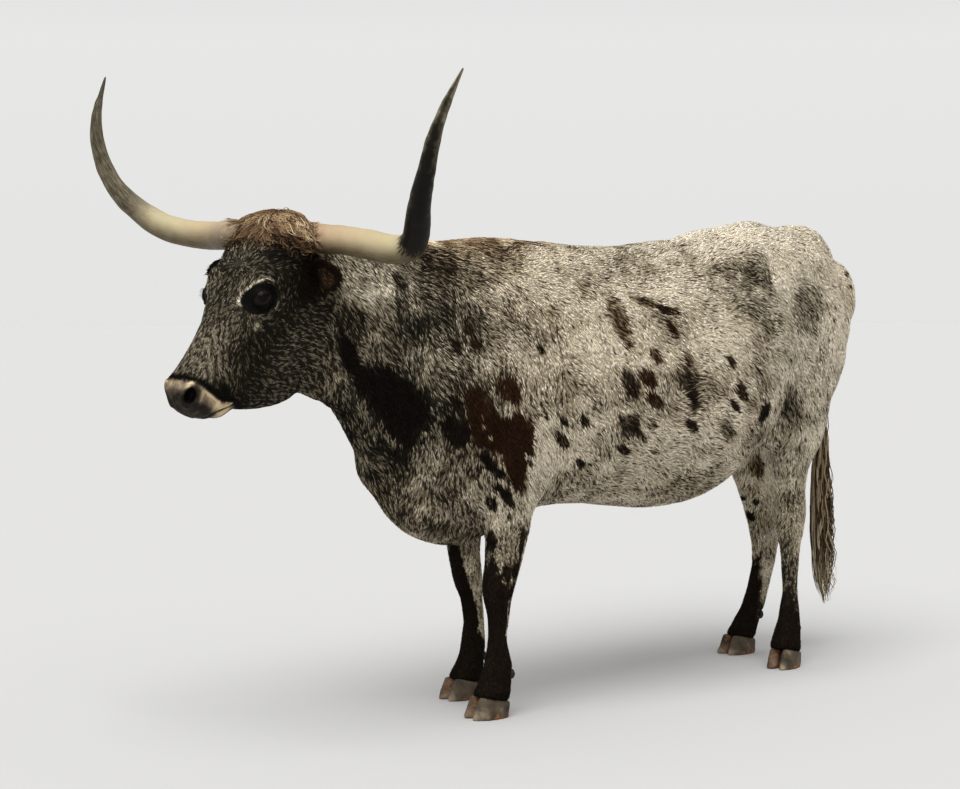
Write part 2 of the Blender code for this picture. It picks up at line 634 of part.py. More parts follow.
# ---- colours -----------------------------------------------------------------------------
def paint(obj, colour, roughness):
    """Give an object its own plain Principled material."""
    material = bpy.data.materials.new(obj.name)
    material.use_nodes = True
    shader = material.node_tree.nodes["Principled BSDF"]
    shader.inputs["Base Color"].default_value = (*colour, 1.0)
    shader.inputs["Roughness"].default_value = roughness
    shader.inputs["Metallic"].default_value = 0.0
    obj.data.materials.clear()
    obj.data.materials.append(material)


# First words of a node's name, its colour and its roughness; the first row that fits holds.
FINISHES = (
    (("horn",), (0.55, 0.47, 0.36), 0.45),
    (("claw", "dewclaw"), (0.18, 0.15, 0.13), 0.70),
    (("eye",), (0.012, 0.010, 0.010), 0.15),
    (("tail_switch",), (0.30, 0.24, 0.16), 0.75),
    (("head", "neck", "ear"), (0.16, 0.15, 0.145), 0.80),
    (("",), (0.40, 0.38, 0.35), 0.80),
)


def finish_of(name):
    """Colour and roughness of a node."""
    for words, colour, roughness in FINISHES:
        if name.startswith(words):
            return colour, roughness


# ---- assembly ----------------------------------------------------------------------------
def flesh_regions():
    """Corners of the region that each named stretch of flesh is cut to, in cutting order."""
    def slab(x0, x1, y_low, y_high, z_low, z_high):
        """Region whose bottom and top are given as (front, back) heights."""
        (front0, back0), (front1, back1) = z_low, z_high
        return [(x0, y_low[0], front0), (x1, y_low[0], front0), (x1, y_low[1], back0),
                (x0, y_low[1], back0), (x0, y_high[0], front1), (x1, y_high[0], front1),
                (x1, y_high[1], back1), (x0, y_high[1], back1)]

    def leg(side, y0, y1, inner, outer, inner_top, outer_top):
        """Region round a leg, with a top that slopes up and outwards."""
        a, b = (inner, outer) if side > 0 else (-outer, -inner)
        tops = (inner_top, outer_top) if side > 0 else (outer_top, inner_top)
        corners = [(a, y0, -0.1), (b, y0, -0.1), (b, y1, -0.1), (a, y1, -0.1)]
        corners += [(a, y0, tops[0]), (b, y0, tops[1]), (b, y1, tops[1]), (a, y1, tops[0])]
        return corners

    return {
        "head": slab(-0.4, 0.5, (-1.2, -0.560), (-1.2, -0.585), (0.6, 0.6), (1.5, 1.5)),
        "neck": slab(-0.4, 0.4, (-1.2, -0.560), (-1.2, -0.060), (0.5, 0.5), (1.5, 1.5)),
        "tail": slab(-0.042, 0.042, (1.503, 1.80), (1.490, 1.80), (TAIL_CUT, TAIL_CUT),
                     (1.42, 1.42)),
        "leg_fore_left": leg(1, -0.062, 0.245, 0.052, 0.40, 0.500, 0.72),
        "leg_fore_right": leg(-1, -0.030, 0.285, 0.052, 0.40, 0.500, 0.72),
        "leg_hind_left": leg(1, 1.085, 1.60, 0.012, 0.40, 0.690, 0.74),
        "leg_hind_right": leg(-1, 1.100, 1.60, 0.012, 0.40, 0.690, 0.74),
    }


def build_flesh():
    """All flesh as one skin, ready to be parted."""
    parts = [trunk_and_neck(), head_loft(), tail_loft(TAIL_TOP)]
    parts += [leg_loft(sections, side) for sections, side, turn in FEET.values()]
    parts += muscles()
    parts += head_lumps()
    return fuse(parts, "trunk")


def carve(flesh, maker, *details):
    """Subtract a slightly larger copy of a separate piece, as its socket."""
    tool = maker("socket", *details, SOCKET_GAP)
    boolean(flesh, tool, "DIFFERENCE")
    drop(tool)


def settle(objects):
    """Move every solid so that the middle of the whole, on the floor, is the origin."""
    points = np.array([vert.co for obj in objects for vert in obj.data.vertices])
    low, high = points.min(axis=0), points.max(axis=0)
    shift = Vector((-(low[0] + high[0]) / 2, -(low[1] + high[1]) / 2, -low[2]))
    for obj in objects:
        obj.data.transform(Matrix.Translation(shift))


def main():
    """Build the animal."""
    for obj in list(bpy.data.objects):
        bpy.data.objects.remove(obj)
    flesh = build_flesh()
    pieces = []
    for name, side in (("left", 1), ("right", -1)):
        for maker, word in ((horn, "horn"), (eye, "eye"), (ear, "ear")):
            pieces.append(maker(f"{word}_{name}", side))
            carve(flesh, maker, side)
    for name, (sections, side, turn) in FEET.items():
        cutter = below_coronet(sections, side, turn)
        boolean(flesh, cutter, "DIFFERENCE")
        drop(cutter)
        for outer, word in ((True, "outer"), (False, "inner")):
            pieces.append(claw(f"claw_{name}_{word}", sections, side, turn, outer))
            pieces.append(dewclaw(f"dewclaw_{name}_{word}", sections, side, turn, outer))
            carve(flesh, dewclaw, sections, side, turn, outer)
    for name, corners in flesh_regions().items():
        pieces.append(split_off(flesh, name, corners))
    main_piece(flesh)
    pieces.append(flesh)
    switch = tail_loft(TAIL_SWITCH, 10, 13)
    switch.name = "tail_switch"
    pieces.append(switch)
    for obj in pieces:
        colour, roughness = finish_of(obj.name)
        paint(obj, colour, roughness)
        obj.data.shade_smooth()
    settle(pieces)


main()
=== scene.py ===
"""Looks of the texas longhorn: skin, coat of tufts, horns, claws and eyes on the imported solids."""
import math

import bmesh
import bpy
import numpy as np
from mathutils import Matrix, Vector
from mathutils.bvhtree import BVHTree


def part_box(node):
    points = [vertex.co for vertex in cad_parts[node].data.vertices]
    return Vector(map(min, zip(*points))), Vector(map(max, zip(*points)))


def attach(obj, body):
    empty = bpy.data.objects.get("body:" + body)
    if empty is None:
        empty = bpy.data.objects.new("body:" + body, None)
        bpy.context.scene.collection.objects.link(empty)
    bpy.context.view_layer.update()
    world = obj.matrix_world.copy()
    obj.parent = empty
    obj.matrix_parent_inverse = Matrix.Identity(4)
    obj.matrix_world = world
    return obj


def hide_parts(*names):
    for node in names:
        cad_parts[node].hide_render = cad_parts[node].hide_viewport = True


# The animal faces -Y, its left side is +X. Metres throughout.
MIDDLE = -0.0966         # x of the plane that halves the body
VOXEL = 0.0048           # grid of the skin before its details
SKIN_FACES = 186000      # triangles that the skin keeps
WAVES = 16               # plane waves in a ripple
POLL = np.array([-0.02056, -0.99294, 1.358])  # top of the head between the horns
HEAD_TURN = math.radians(6.9)
HEAD_DROP = math.radians(54.3)
HEAD_ROLL = math.radians(-1.7)
UP = np.array([0.0, 0.0, 1.0])
FLESH = ("head", "neck", "trunk", "tail", "leg_fore_left", "leg_fore_right", "leg_hind_left",
         "leg_hind_right", "ear_left", "ear_right")
SIDES = (("left", 1), ("right", -1))

# The photo's camera.
CAMERA_AT = Vector((4.35144, -3.99094, 1.1554))
CAMERA_YAW = -0.8688     # turn from +Y towards +X
CAMERA_PITCH = 0.0484    # below the horizon
CAMERA_LENS = 78.75      # millimetres, as is the sensor's width
SENSOR = 36
PHOTO_SIZE = (960, 789)  # pixels
CAMERA_AHEAD = Vector((math.cos(CAMERA_PITCH) * math.sin(CAMERA_YAW),
                       math.cos(CAMERA_PITCH) * math.cos(CAMERA_YAW), -math.sin(CAMERA_PITCH)))

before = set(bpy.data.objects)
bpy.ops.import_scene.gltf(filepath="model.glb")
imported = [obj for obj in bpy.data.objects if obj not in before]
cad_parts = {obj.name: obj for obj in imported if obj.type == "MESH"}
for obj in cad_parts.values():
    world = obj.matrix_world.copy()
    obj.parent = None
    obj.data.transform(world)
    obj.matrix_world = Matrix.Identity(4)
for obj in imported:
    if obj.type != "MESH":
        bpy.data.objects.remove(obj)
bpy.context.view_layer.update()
HEAD_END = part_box("head")[1][1]      # y where the head ends behind
TRUNK_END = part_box("trunk")[1][1]    # y where the trunk ends behind


# ---------------------------------------------------------------- small tools

def unit(v):
    v = np.asarray(v, float)
    return v / np.maximum(np.linalg.norm(v, axis=-1, keepdims=True), 1e-12)


def turned(v, axis, angle):
    """v turned about a unit axis."""
    return (v * math.cos(angle) + np.cross(axis, v) * math.sin(angle)
            + axis * (axis @ v) * (1 - math.cos(angle)))


def step(low, high, x):
    """0 before low, 1 past high, smooth between them. low may be the larger one."""
    t = np.clip((x - low) / (high - low), 0, 1)
    return t * t * (3 - 2 * t)


def bell(x, width):
    return np.exp(-(x / width) ** 2)


def mix(old, new, share):
    return old + (new - old) * share


def dot(a, b):
    return (a * b).sum(-1)


HEAD_AHEAD = np.array([math.sin(HEAD_TURN), -math.cos(HEAD_TURN), 0.0])
FACE_DOWN = HEAD_AHEAD * math.cos(HEAD_DROP) - UP * math.sin(HEAD_DROP)
HEAD_LEFT = turned(np.array([math.cos(HEAD_TURN), math.sin(HEAD_TURN), 0.0]), FACE_DOWN, HEAD_ROLL)
FACE_OUT = np.cross(FACE_DOWN, HEAD_LEFT)


def on_head(down, out, left):
    """Point at these distances from the poll: down the face, out of the face, to the animal's left."""
    return POLL + FACE_DOWN * down + FACE_OUT * out + HEAD_LEFT * left


def in_head(points):
    """How far down the face, out of it and to the left each point is from the poll."""
    v = points - POLL
    return v @ FACE_DOWN, v @ FACE_OUT, v @ HEAD_LEFT


def centre_of(node):
    low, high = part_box(node)
    return np.array((low + high) / 2)


def in_box(points, node, margin):
    """True for the points in a CAD node's box, with a margin round it."""
    low, high = (np.array(corner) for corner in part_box(node))
    return np.all((points > low - margin) & (points < high + margin), axis=1)


def eye_radius(name):
    low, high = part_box("eye_" + name)
    return (high[0] - low[0]) / 2


def eye_at(name):
    """Middle of an eyeball. The one that the camera doesn't see lies a little deeper."""
    deeper = 0.004 * HEAD_LEFT if name == "right" else 0
    return centre_of("eye_" + name) + deeper


def read(items, name, width, kind=np.float32):
    found = np.empty(len(items) * width, kind)
    items.foreach_get(name, found)
    found = found.reshape(-1, width)
    return found.astype(float) if kind == np.float32 else found


def points_of(mesh):
    return read(mesh.vertices, "co", 3)


def normals_of(mesh):
    return read(mesh.vertices, "normal", 3)


def edges_of(mesh):
    return read(mesh.edges, "vertices", 2, np.int32)


def set_points(mesh, points):
    mesh.vertices.foreach_set("co", points.astype(np.float32).ravel())
    mesh.update()


def set_values(mesh, **values):
    """Writes one number per vertex under each name, for the materials."""
    for name, value in values.items():
        layer = mesh.attributes.new(name, "FLOAT", "POINT")
        layer.data.foreach_set("value", np.broadcast_to(value, len(mesh.vertices)).astype(np.float32))


def new_object(name, mesh):
    made = bpy.data.objects.new(name, mesh)
    bpy.context.scene.collection.objects.link(made)
    return made


def apply_modifiers(made):
    """Replaces the mesh of made by its evaluated one."""
    graph = bpy.context.evaluated_depsgraph_get()
    mesh = bpy.data.meshes.new_from_object(made.evaluated_get(graph))
    made.modifiers.clear()
    old, made.data = made.data, mesh
    bpy.data.meshes.remove(old)
    return made


def relax(points, edges, weight, rounds):
    """Draws each point towards the mean of its neighbours, weight of the way, this many times."""
    a, b = edges.T
    count = np.maximum(np.bincount(edges.ravel(), minlength=len(points)), 1)[:, None]
    share = 0.8 * np.broadcast_to(weight, len(points))[:, None]
    for _ in range(rounds):
        total = np.stack([np.bincount(a, points[b, i], len(points))
                          + np.bincount(b, points[a, i], len(points)) for i in range(3)], 1)
        points = points + (total / count - points) * share
    return points


def smoothed(points, edges, weight, rounds):
    """Like relax, but the form keeps its size: what the first pass took off comes back without its facets."""
    once = relax(points, edges, weight, rounds)
    return once + relax(points - once, edges, weight, rounds)


def ripple(points, size, seed):
    """Smooth noise of about -1 to 1 whose features are about size across, as a sum of plane waves."""
    rng = np.random.default_rng(seed)
    ways = unit(rng.normal(size=(WAVES, 3))) * (math.pi / size) * rng.uniform(0.6, 1.2, (WAVES, 1))
    return np.sin(points @ ways.T + rng.uniform(0, 2 * math.pi, WAVES)).sum(1) / math.sqrt(WAVES / 2)


def cad_mesh(name, nodes, grow):
    """One mesh of several CAD nodes, each grown a little so that they overlap."""
    joined = bmesh.new()
    for node in nodes:
        part = bmesh.new()
        part.from_mesh(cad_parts[node].data)
        bmesh.ops.remove_doubles(part, verts=part.verts, dist=1e-5)
        part.normal_update()
        for v in part.verts:
            v.co += v.normal * grow
        piece = bpy.data.meshes.new(node)
        part.to_mesh(piece)
        part.free()
        joined.from_mesh(piece)
        bpy.data.meshes.remove(piece)
    mesh = bpy.data.meshes.new(name)
    joined.to_mesh(mesh)
    joined.free()
    return mesh


def fused(name, nodes, voxel, grow=0.0):
    """CAD nodes as one closed object on an even grid."""
    made = new_object(name, cad_mesh(name, nodes, grow))
    remesh = made.modifiers.new("fuse", "REMESH")
    remesh.mode = "VOXEL"
    remesh.voxel_size = voxel
    remesh.adaptivity = 0
    return apply_modifiers(made)


# ---------------------------------------------------------------- skin

EYE_LONG = unit(FACE_DOWN * 0.80 + FACE_OUT * 0.45)  # from the outer corner of the lids to the inner one
EYE_HALF = 0.0245        # half the length of the opening
EYE_TOP = 0.0178         # the lids' edges above and below the middle
EYE_FOOT = 0.0152
LID_EDGE = 0.0022        # how far the lids' edges stand off the eyeball


def eye_axes(side):
    """Directions at an eye: out of it, towards its inner corner and up over its lid."""
    look = unit(HEAD_LEFT * side * 0.93 + FACE_OUT * 0.30 + FACE_DOWN * 0.22)
    along = unit(EYE_LONG - look * (EYE_LONG @ look))
    over = np.cross(along, look) * side
    return look, along, over


def smooth_body(skin):
    """Takes the facets of the solids off: strongly on the body, lightly on head, ears and feet."""
    points, edges = points_of(skin.data), edges_of(skin.data)
    down = in_head(points)[0]
    at_head = 1 - step(-0.05, 0.06, points[:, 1] - HEAD_END)
    at_foot = 1 - step(0.10, 0.50, points[:, 2])
    at_tail = step(0.0, 0.05, points[:, 1] - TRUNK_END + 0.05)
    at_muzzle = step(0.45, 0.50, down) * at_head
    weight = 1 - np.maximum.reduce([0.87 * at_head - 0.68 * at_muzzle, 0.75 * at_foot, 0.5 * at_tail])
    set_points(skin.data, smoothed(points, edges, weight, 40))


def split_faces(skin):
    """Splits the faces at the skin's details in four."""
    work = bmesh.new()
    work.from_mesh(skin.data)
    picked = near_details(np.array([v.co for v in work.verts]))
    edges = [e for e in work.edges if picked[e.verts[0].index] and picked[e.verts[1].index]]
    bmesh.ops.subdivide_edges(work, edges=edges, cuts=1, use_grid_fill=True)
    work.to_mesh(skin.data)
    work.free()


def near_details(points):
    """True at the eyes, nostrils and mouth, where the skin needs small faces."""
    down = in_head(points)[0]
    found = (down > 0.455) & (down < 0.60)
    for name, _ in SIDES:
        found |= np.linalg.norm(points - eye_at(name), axis=1) < 0.062
    return found


def sculpt_eye(points, name, side):
    """Lids round the eyeball, open in an almond, with a crease above and a bag below."""
    centre = eye_at(name)
    radius = eye_radius(name)
    look, along, over = eye_axes(side)
    q = points - centre
    away = np.linalg.norm(q, axis=1)
    ahead, x, y = q @ look, q @ along, q @ over
    bend = np.clip(1 - (x / EYE_HALF) ** 2, 0, 1)
    top = EYE_TOP * bend ** 0.75
    foot = -EYE_FOOT * bend ** 0.9
    past_end = np.maximum(np.abs(x) - EYE_HALF, 0)
    outside = np.where(past_end > 0, np.hypot(past_end, y), np.maximum(y - top, foot - y))
    lid = radius + LID_EDGE + 0.0008 * step(0.0, 0.006, outside)
    behind = radius - 0.007 * step(0.0, -0.0022, outside) + LID_EDGE * step(-0.0012, 0, outside)
    lid = np.where(outside < 0, behind, lid)
    crease = 0.0030 * bell(outside - 0.0085, 0.0030) * step(-0.004, 0.006, y)
    bag = 0.0016 * bell(outside - 0.0095, 0.003) * step(0.002, -0.006, y)
    blend = (1 - step(0.007, 0.030, outside)) * step(0.0, 0.012, ahead)
    target = lid - crease - bag
    new_away = away + (target - away) * blend
    moved = centre + q * (new_away / np.maximum(away, 1e-6))[:, None]
    return np.where((blend > 0)[:, None] & (away < 0.09)[:, None], moved, points)


NOSTRIL_AT = (0.531, -0.032, 0.041)      # down, out and sideways, as are the directions below
NOSTRIL_HALF = (0.0235, 0.0150)          # half its length and width
NOSTRIL_LONG = unit((0.81, -0.41, -0.43))
NOSTRIL_OUT = unit((0.60, 0.55, 0.55))
NOSTRIL_WIDE = np.cross(NOSTRIL_OUT, NOSTRIL_LONG)


def sculpt_head(points, normals):
    """Brow, cheek crest, nostrils, mouth and folds, as moves along the normals."""
    down, out, left = in_head(points)
    half = np.abs(left)
    rise = np.zeros(len(points))
    on = step(0.10, 0.02, points[:, 1] - HEAD_END)
    # rim of bone over the eye, and the hollow in front of it
    rise += 0.0055 * bell(np.hypot(down - 0.178, (out + 0.008) * 0.8), 0.022) * step(0.05, 0.08, half)
    rise -= 0.0040 * bell(np.hypot(down - 0.305, out + 0.010), 0.026) * step(0.03, 0.06, half)
    # crest of the cheek, from under the eye towards the muzzle, and the hollow above the jaw muscle
    crest_out = -0.060 - 0.10 * (down - 0.28)
    rise += (0.0035 * bell(out - crest_out, 0.013) * step(0.25, 0.29, down) * step(0.42, 0.36, down)
             * step(0.02, 0.05, half))
    rise -= 0.0025 * bell(out - crest_out + 0.030, 0.014) * step(0.33, 0.36, down) * step(0.47, 0.42, down)
    # folds over the brow and behind the mouth
    folds = np.sin((down - 0.6 * out) * 2 * math.pi / 0.013)
    rise += 0.0008 * folds * bell(np.hypot(down - 0.175, out - 0.012), 0.024) * step(0.045, 0.065, half)
    folds = np.sin((down + 0.4 * out) * 2 * math.pi / 0.011)
    rise += 0.0007 * folds * bell(np.hypot(down - 0.463, out + 0.125), 0.020)
    # nostrils: a comma with a raised rim
    q = np.stack([down, out, half], 1) - NOSTRIL_AT
    along, across = q @ NOSTRIL_LONG, q @ NOSTRIL_WIDE
    across = across - 9.0 * np.minimum(along + 0.004, 0) ** 2
    slim = 1 - 0.45 * step(-0.002, -0.024, along)
    hole = np.hypot(along / NOSTRIL_HALF[0], across / (NOSTRIL_HALF[1] * slim))
    near = bell(q @ NOSTRIL_OUT, 0.03)
    rise += near * (0.0036 * bell(hole - 1.25, 0.30) - 0.0190 * step(1.06, 0.55, hole))
    # upper lip over the lower one, from corner to corner
    past_corner = mouth_line(down, out)
    rise -= 0.0040 * bell(past_corner, 0.0032) * step(0.458, 0.470, down)
    rise += 0.0018 * bell(past_corner + 0.011, 0.008) * step(0.47, 0.50, down)
    rise -= 0.0018 * bell(left, 0.0035) * step(0.525, 0.54, down) * step(0.02, -0.03, out)
    # edge between the bare muzzle and the hair
    rise -= 0.0012 * bell(bare_edge(down, out, half), 0.003)
    return points + normals * (rise * on)[:, None]


def mouth_line(down, out):
    """How far out of the line between the lips a point is."""
    return out - (-0.160 + 0.046 * step(0.465, 0.535, down))


def bare_edge(down, out, half):
    """How far past the line where the bare muzzle begins a point is."""
    return down - (0.4975 - 0.006 * step(0.03, 0.055, half) - 0.030 * step(-0.10, -0.165, out))


# Corners of the left hip's ridge, from the back outwards and down.
HIP_LINE = np.array([(0.010, 0.655, 1.332), (0.044, 0.671, 1.319), (0.086, 0.713, 1.307),
                     (0.110, 0.740, 1.259), (0.136, 0.738, 1.193)])
# Forms of the left thigh's back, from the pin bone down: middle, reach, height.
THIGH_BACK = (((0.095, 1.115, 1.065), 0.045, 0.013), ((0.125, 1.035, 0.900), 0.060, -0.008),
              ((0.110, 0.960, 0.700), 0.060, 0.013))


def sculpt_body(points, normals):
    """Folds, ribs, sinews and the bones that show under the hide, as moves along the normals."""
    x, y, z = points.T
    side = np.abs(normals[:, 0])
    rise = np.zeros(len(points))
    # ribs, faint behind the shoulder
    ribs = np.sin((y + 0.22 * z) * 2 * math.pi / 0.085)
    rise += (0.0016 * ribs * step(-0.15, 0.0, y) * step(0.42, 0.30, y)
             * step(0.66, 0.75, z) * step(1.20, 1.10, z) * side)
    # hollow before the hip bone, and the fold of the flank
    rise -= 0.010 * bell(np.hypot((y - 0.56) * 0.9, z - 1.19), 0.075) * side
    flank = y - 0.607 + 0.45 * (z - 0.80)
    rise -= 0.006 * bell(flank, 0.014) * step(0.90, 0.84, z) * step(0.70, 0.76, z) * side
    # edge of the shoulder blade and the fold behind the elbow
    blade = y + 0.20 - 0.25 * (z - 0.9)
    rise -= 0.004 * bell(blade, 0.030) * step(0.80, 0.90, z) * step(1.20, 1.10, z) * side
    elbow = y + 0.205 + 0.3 * (z - 0.66)
    rise -= 0.005 * bell(elbow, 0.012) * step(0.74, 0.66, z) * step(0.58, 0.62, z) * side
    # folds of the loose skin on the neck
    folds = np.sin((y + 0.55 * z + 0.02 * np.sin(z * 25)) * 2 * math.pi / 0.052)
    rise += (0.0022 * folds * step(-0.86, -0.80, y) * step(-0.58, -0.70, y)
             * step(1.22, 1.05, z) * step(0.62, 0.74, z))
    # spine between the hips, and the ridge of the hip bone
    rise += 0.003 * bell(x - MIDDLE, 0.02) * step(0.45, 0.6, y) * step(1.25, 1.33, z)
    rise += 0.006 * hip_ridge(points, 0.017)
    # inside of the thighs, where the legs meet in side view
    inner = step(0.68, 0.60, z) * step(0.36, 0.44, z) * step(0.5, 0.6, y)
    facing = np.where(x < MIDDLE, normals[:, 1], -normals[:, 1])
    rise += 0.006 * inner * step(0.0, 0.6, facing)
    # the back of the thigh, from the pin bone down
    for place, reach, amount in THIGH_BACK:
        rise += amount * bell(np.linalg.norm(on_left(points) - place, axis=1), reach)
    # sinews behind the cannon bones
    sinew = np.sin(np.arctan2(normals[:, 1], normals[:, 0]) * 4)
    rise += 0.0012 * sinew * step(0.40, 0.34, z) * step(0.12, 0.17, z)
    uneven = ripple(points, 0.09, 3) * 0.0014 + ripple(points, 0.035, 4) * 0.0005
    return points + normals * (rise + uneven * step(0.10, 0.5, z))[:, None]


def on_left(points):
    """The points with those of the right half mirrored to the left one."""
    mirrored = points.copy()
    mirrored[:, 0] = np.abs(points[:, 0] - MIDDLE) + MIDDLE
    return mirrored


def hip_ridge(points, width):
    """1 on the ridge that runs outwards and down from the back over each hip bone."""
    mirrored = on_left(points)
    best = np.full(len(points), 9.0)
    for a, b in zip(HIP_LINE[:-1], HIP_LINE[1:]):
        share = np.clip((mirrored - a) @ (b - a) / ((b - a) @ (b - a)), 0, 1)
        best = np.minimum(best, np.linalg.norm(mirrored - a - share[:, None] * (b - a), axis=1))
    return bell(best, width)


def coat_depth(points):
    """How thick the coat lies at each point. It is nothing on the bare muzzle."""
    down, out, left = in_head(points)
    at_head = step(0.06, -0.05, points[:, 1] - HEAD_END)
    mop = at_head * bell(np.hypot(down + 0.01, left * 0.6), 0.075)
    leg = step(0.60, 0.35, points[:, 2])
    deep = 0.0055 - 0.0035 * np.maximum(at_head, leg)
    return (deep + 0.006 * mop) * (1 - at_head * step(-0.004, 0.003, bare_edge(down, out, np.abs(left))))


def make_skin():
    """The one skin: the flesh solids without facets and with small forms, inside them by the coat's depth."""
    skin = fused("skin", FLESH + ("eye_left", "eye_right"), VOXEL, 0.0006)
    smooth_body(skin)
    split_faces(skin)
    points, edges = points_of(skin.data), edges_of(skin.data)
    points = relax(points, edges, near_details(points) * 0.5, 4)
    set_points(skin.data, points)
    normals = normals_of(skin.data)
    points = points - normals * coat_depth(points)[:, None]
    points = sculpt_body(points, normals)
    points = sculpt_head(points, normals)
    for name, side in SIDES:
        points = sculpt_eye(points, name, side)
    set_points(skin.data, points)
    thin_out(skin)
    skin.data.shade_smooth()
    return skin


def thin_out(skin):
    """Brings the skin down to SKIN_FACES, and keeps small faces where the head and feet need them."""
    points = points_of(skin.data)
    head = 0.65 * step(0.08, -0.02, points[:, 1] - HEAD_END)
    fine = np.maximum.reduce([head, 0.3 * step(0.5, 0.3, points[:, 2]), near_details(points)])
    group = skin.vertex_groups.new(name="coarse")
    for level in np.unique(np.round(fine, 1)):
        picked = np.flatnonzero(np.round(fine, 1) == level)
        group.add(picked.tolist(), float(1 - level * 0.97), "REPLACE")
    thin = skin.modifiers.new("thin", "DECIMATE")
    thin.vertex_group = "coarse"
    faces = sum(len(p.vertices) - 2 for p in skin.data.polygons)
    thin.ratio = SKIN_FACES / faces
    apply_modifiers(skin)
    skin.vertex_groups.clear()


# ---------------------------------------------------------------- markings

# Where the coat is pale, seen from the side: y, z, share of pale hair, warmth of the dark hair.
ROAN = np.array([
    (-0.25, 1.32, 0.55, 0.55), (-0.42, 1.26, 0.37, 0.30), (-0.02, 1.32, 0.80, 0.30),
    (0.15, 1.27, 0.77, 0.20), (0.40, 1.27, 0.80, 0.15), (0.62, 1.33, 1.02, 0.15), (0.80, 1.34, 1.02, 0.15),
    (1.05, 1.30, 1.00, 0.20), (1.18, 1.10, 0.90, 0.25), (0.55, 1.20, 0.72, 0.15), (0.65, 1.15, 0.68, 0.05),
    (0.80, 1.24, 0.99, 0.15), (0.95, 1.15, 0.93, 0.10), (0.86, 1.05, 0.84, 0.00), (1.05, 0.98, 0.90, 0.05),
    (0.82, 0.93, 0.84, 0.05), (0.82, 0.80, 0.66, 0.05), (0.95, 0.70, 0.77, 0.05), (0.82, 0.62, 0.71, 0.05),
    (0.15, 1.13, 0.86, 0.20), (0.35, 1.12, 0.86, 0.15), (0.05, 1.00, 0.86, 0.20), (0.30, 1.00, 0.84, 0.20),
    (0.50, 1.02, 0.82, 0.20), (0.16, 0.85, 0.71, 0.20), (0.40, 0.88, 0.78, 0.20), (0.55, 0.86, 0.78, 0.20),
    (0.15, 0.72, 0.84, 0.15), (0.40, 0.75, 0.79, 0.15), (0.60, 0.76, 0.76, 0.15), (-0.10, 1.12, 0.84, 0.30),
    (-0.15, 0.95, 0.84, 0.20), (-0.10, 0.78, 0.80, 0.15), (-0.28, 1.10, 0.64, 0.20),
    (-0.28, 0.95, 0.72, 0.15), (-0.42, 1.08, 0.45, 0.05), (-0.58, 1.15, 0.38, 0.00),
    (-0.50, 0.98, 0.52, 0.05), (-0.74, 1.17, 0.57, 0.05), (-0.72, 1.02, 0.50, 0.10),
    (-0.80, 1.08, 0.36, 0.15), (-0.62, 0.88, 0.34, 0.00), (-0.55, 0.74, 0.40, 0.05),
    (-0.42, 0.70, 0.62, 0.15), (-0.50, 0.62, 0.44, 0.15), (-0.34, 0.58, 0.69, 0.10),
    (-0.22, 0.64, 0.86, 0.10), (0.10, 0.62, 0.84, 0.15), (0.40, 0.60, 0.78, 0.15),
    (-0.28, 0.45, 0.54, 0.10), (-0.18, 0.30, 0.66, 0.20), (0.90, 0.45, 0.58, 0.10),
    (0.90, 0.30, 0.42, 0.10), (1.05, 0.32, 0.72, 0.10), (1.02, 0.50, 0.80, 0.25),
])

